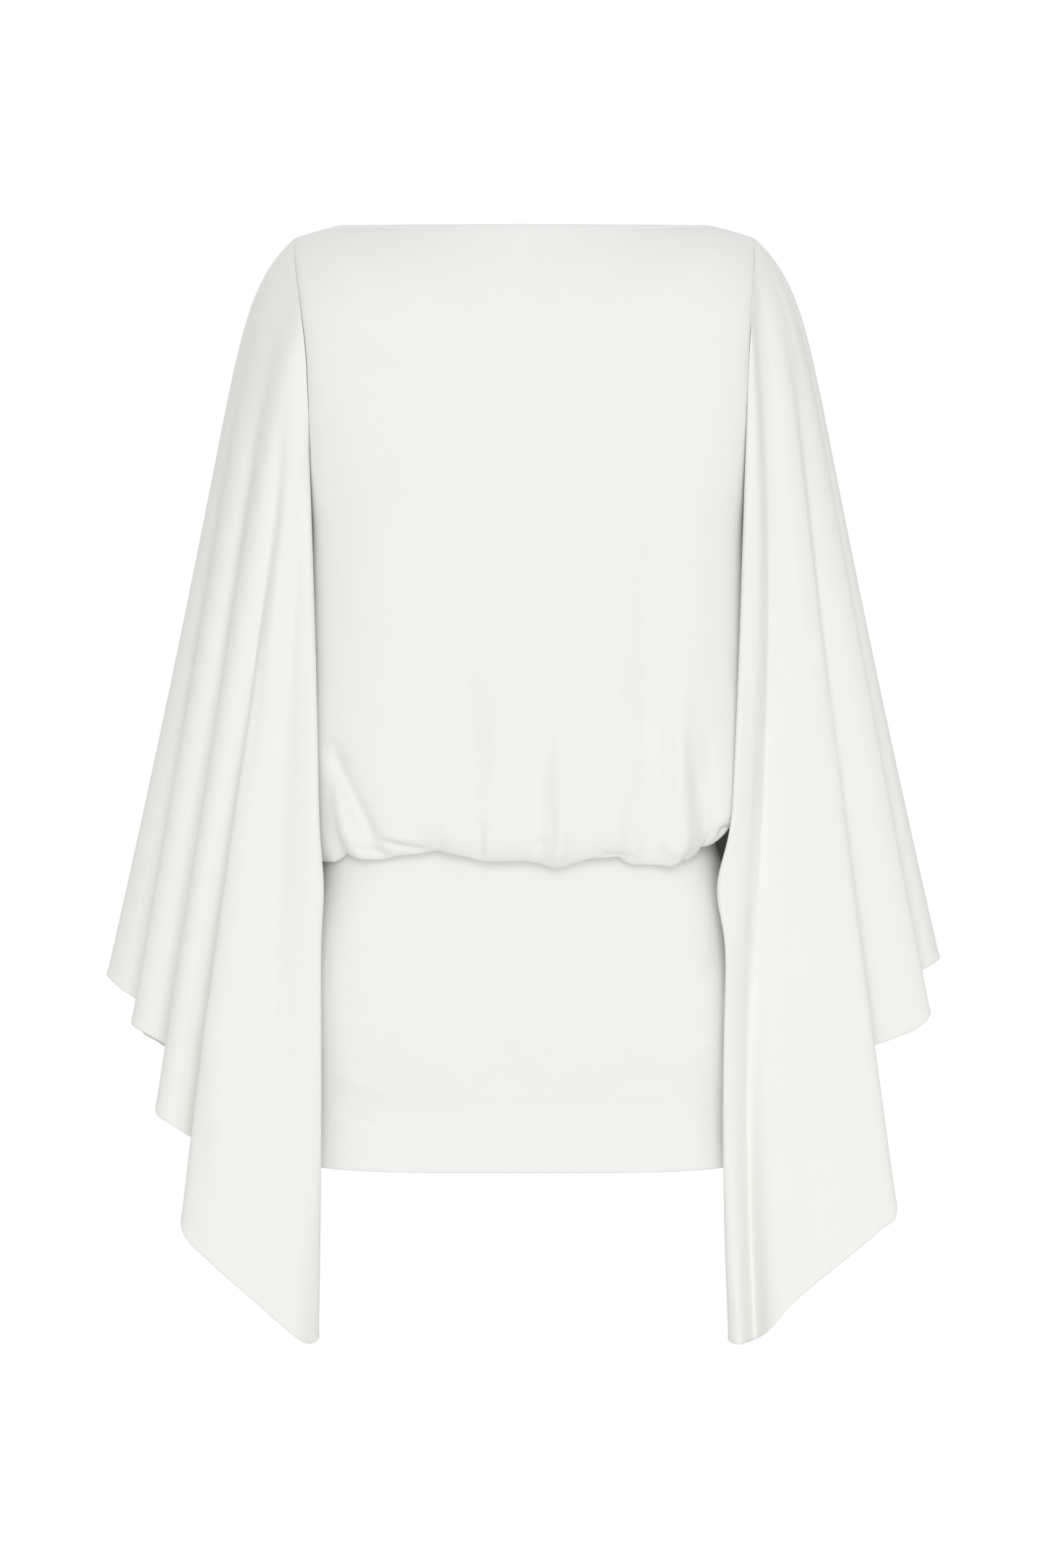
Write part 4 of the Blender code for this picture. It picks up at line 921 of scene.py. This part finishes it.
# %% Neck band
# Across the band, the cloth doubles over its outer 0.12 and is rounded off over its inner 0.15
BAND_STEP = 0.12
BAND_ROUNDING = 0.15
BAND_LEAST = 0.15
around, across = np.meshgrid(np.arange(400) / 200, np.linspace(0, 1, 9))
rounding = CLOTH + (NECK_BAND_CLOTH - CLOTH) * ease(across / BAND_STEP)
rounding = rounding * np.sqrt(np.clip((1 - across) / BAND_ROUNDING, BAND_LEAST, 1))
grid = neck_band(around, across)
band = cloth_wall("neck_binding_cloth", grid, 1, closed=True, thickness=rounding)
finish_piece(band, "neck_binding", BINDING)

# %% Bodice panels
BODICE_COLUMNS = 241
TOP_CROWDING = 1.25
levels = np.concatenate([np.linspace(0, 1, 70) ** TOP_CROWDING, np.linspace(1, 2, 90)[1:],
                         np.linspace(2, 3, 46)[1:]])
for face, way in (("back", -1), ("front", 1)):
    theta, level = np.meshgrid(panel_columns(BODICE_COLUMNS), levels)
    grid = bodice(face, theta, level)
    grid = crease(grid, False, way, [("bodice_" + face, way)])
    panel = cloth_wall("bodice_%s_cloth" % face, grid, way)
    finish_piece(panel, "bodice_" + face, CREPE)
    cut_from(grid, False)

# %% Skirt panels
# The hem rides up a little at the side seams, as cos(theta)^4
SKIRT_COLUMNS = 201
SIDE_HEM_LIFT = 0.005
SIDE_LIFT_START = 0.70
HEM_TOP = SKIRT_HEM_DROP - HEM_HEIGHT
drops = np.concatenate([np.linspace(SKIRT_TOP_DROP, HEM_TOP - 0.001, 110),
                        HEM_TOP + np.linspace(0, HEM_HEIGHT, 14)])
for face, way in (("back", -1), ("front", 1)):
    theta, drop = np.meshgrid(panel_columns(SKIRT_COLUMNS), drops)
    lowered = ease((drop - SIDE_LIFT_START) / (SKIRT_HEM_DROP - SIDE_LIFT_START))
    grid = skirt(face, theta, drop - SIDE_HEM_LIFT * np.cos(theta) ** 4 * lowered)
    grid = crease(grid, False, way, [("skirt_" + face, way)])
    thickness = hem_thickness(drop, SKIRT_HEM_DROP)
    panel = cloth_wall("skirt_%s_cloth" % face, grid, way, thickness=thickness)
    finish_piece(panel, "skirt_" + face, CREPE)
    cut_from(grid, False)

# %% Sleeves
COLUMNS_PER_ROW = 9
SHOULDER_CROWDING = 1.3
HEM_START = 0.985
PLEAT_SOFTENING = 6
SLEEVE_FALL = 0.65
v_rows = np.concatenate([np.linspace(0, 1, 150) ** SHOULDER_CROWDING * HEM_START,
                         HEM_START + np.linspace(0, 1 - HEM_START, 14)[1:]])
for side, way in (("left", -1), ("right", 1)):
    columns = np.arange(len(SLEEVE_HEM[side]) * COLUMNS_PER_ROW) / COLUMNS_PER_ROW
    u, v = np.meshgrid(columns, v_rows)
    grid = soften(sleeve(side, u, v), PLEAT_SOFTENING)
    grid = tuck_under(side, grid, u)
    grid = crease(grid, True, way, [("sleeve_back", -1), ("sleeve_front", 1)])
    thickness = hem_thickness(v * SLEEVE_FALL, SLEEVE_FALL)
    cloth = cloth_wall("sleeve_%s_cloth" % side, grid, way, closed=True, thickness=thickness)
    # The sleeves wear the lighter, warmer copy of the crepe, with its painted light.
    finish_piece(cloth, "sleeve_" + side, SLEEVE_CREPE_PAINTED_LIGHT)
    cut_from(grid, True)

# %% [markdown]
# ## Light and camera
#
# The photograph is a high-key studio picture on pure white: soft light from all round, a little
# more from above than from below, and one large soft light from beside the camera. The world gives
# the first, by a formula of direction, and an area light the second. A weaker one lights the
# dress's front. The plain pale floor lies below the picture, at the height where the feet of a
# wearer would stand, so that it draws no horizon. The camera looks straight at the dress's back.

# %% Studio
LIGHT_FROM_LEVEL = 0.63
LIGHT_FROM_ABOVE = 0.10
MAIN_LIGHT_PLACE = (0.4, -4.6, 0.3)
FRONT_LIGHT_PLACE = (-1.4, 4.2, 0.6)
LIGHT_AIM = (0, 0, -0.45)
LIGHT_SIZE = 3.0
MAIN_LIGHT_WATTS = 75
FRONT_LIGHT_WATTS = 45
world = bpy.data.worlds.new("studio")
world.use_nodes = True
background = world.node_tree.nodes["Background"]
direction = add_node(world.node_tree, "ShaderNodeTexCoord")
height = direction.node("ShaderNodeSeparateXYZ", None, {0: direction}, output=2)
glow = LIGHT_FROM_LEVEL + height * LIGHT_FROM_ABOVE
seen = direction.node("ShaderNodeLightPath")
strength = glow + (1 - glow) * seen
world.node_tree.links.new(strength.socket, background.inputs["Strength"])
background.inputs["Color"].default_value = (1, 1, 1, 1)
bpy.context.scene.world = world


def soft_light(name, place, aim, size, watts):
    """A square area light at place that faces aim."""
    light = bpy.data.lights.new(name, "AREA")
    light.size = size
    light.energy = watts
    lamp = bpy.data.objects.new(name, light)
    bpy.context.collection.objects.link(lamp)
    lamp.location = place
    direction = np.array(aim) - np.array(place)
    yaw = np.arctan2(direction[0], -direction[1])
    pitch = np.arctan2(np.hypot(direction[0], direction[1]), -direction[2])
    lamp.rotation_euler = (pitch, 0, np.pi - yaw)


soft_light("main_light", MAIN_LIGHT_PLACE, LIGHT_AIM, LIGHT_SIZE, MAIN_LIGHT_WATTS)
soft_light("front_light", FRONT_LIGHT_PLACE, LIGHT_AIM, LIGHT_SIZE, FRONT_LIGHT_WATTS)

# %% Floor
FLOOR_DROP = 1.42
FLOOR_REACH = 1.6
corners = FLOOR_REACH * np.array([(-1, -1, 0), (1, -1, 0), (1, 1, 0), (-1, 1, 0)])
floor_mesh = bpy.data.meshes.new("floor")
floor_mesh.from_pydata((corners - [0, 0, FLOOR_DROP]).tolist(), [], [(0, 1, 2, 3)])
floor = bpy.data.objects.new("floor", floor_mesh)
bpy.context.collection.objects.link(floor)
floor_paint = bpy.data.materials.new("pale_floor")
floor_paint.use_nodes = True
floor_shader = floor_paint.node_tree.nodes["Principled BSDF"]
floor_shader.inputs["Base Color"].default_value = (0.86, 0.86, 0.85, 1)
floor_shader.inputs["Roughness"].default_value = 0.8
floor_mesh.materials.append(floor_paint)
print("floor", round(2 * FLOOR_REACH, 2), "m wide")

# %% Camera
CAMERA_DISTANCE = 5.0
CAMERA_ASIDE = -0.0015
CAMERA_HEIGHT = -0.463
VIEW_HEIGHT = 1.32248
SENSOR = 36
camera_data = bpy.data.cameras.new("camera")
camera_data.sensor_width = SENSOR
camera_data.lens = SENSOR * CAMERA_DISTANCE / VIEW_HEIGHT
camera = bpy.data.objects.new("camera", camera_data)
bpy.context.collection.objects.link(camera)
camera.location = (CAMERA_ASIDE, -CAMERA_DISTANCE, CAMERA_HEIGHT)
camera.rotation_euler = (np.pi / 2, 0, 0)
bpy.context.scene.camera = camera
bpy.context.scene.view_settings.view_transform = "Standard"
print("lens", round(camera_data.lens, 2), "mm")
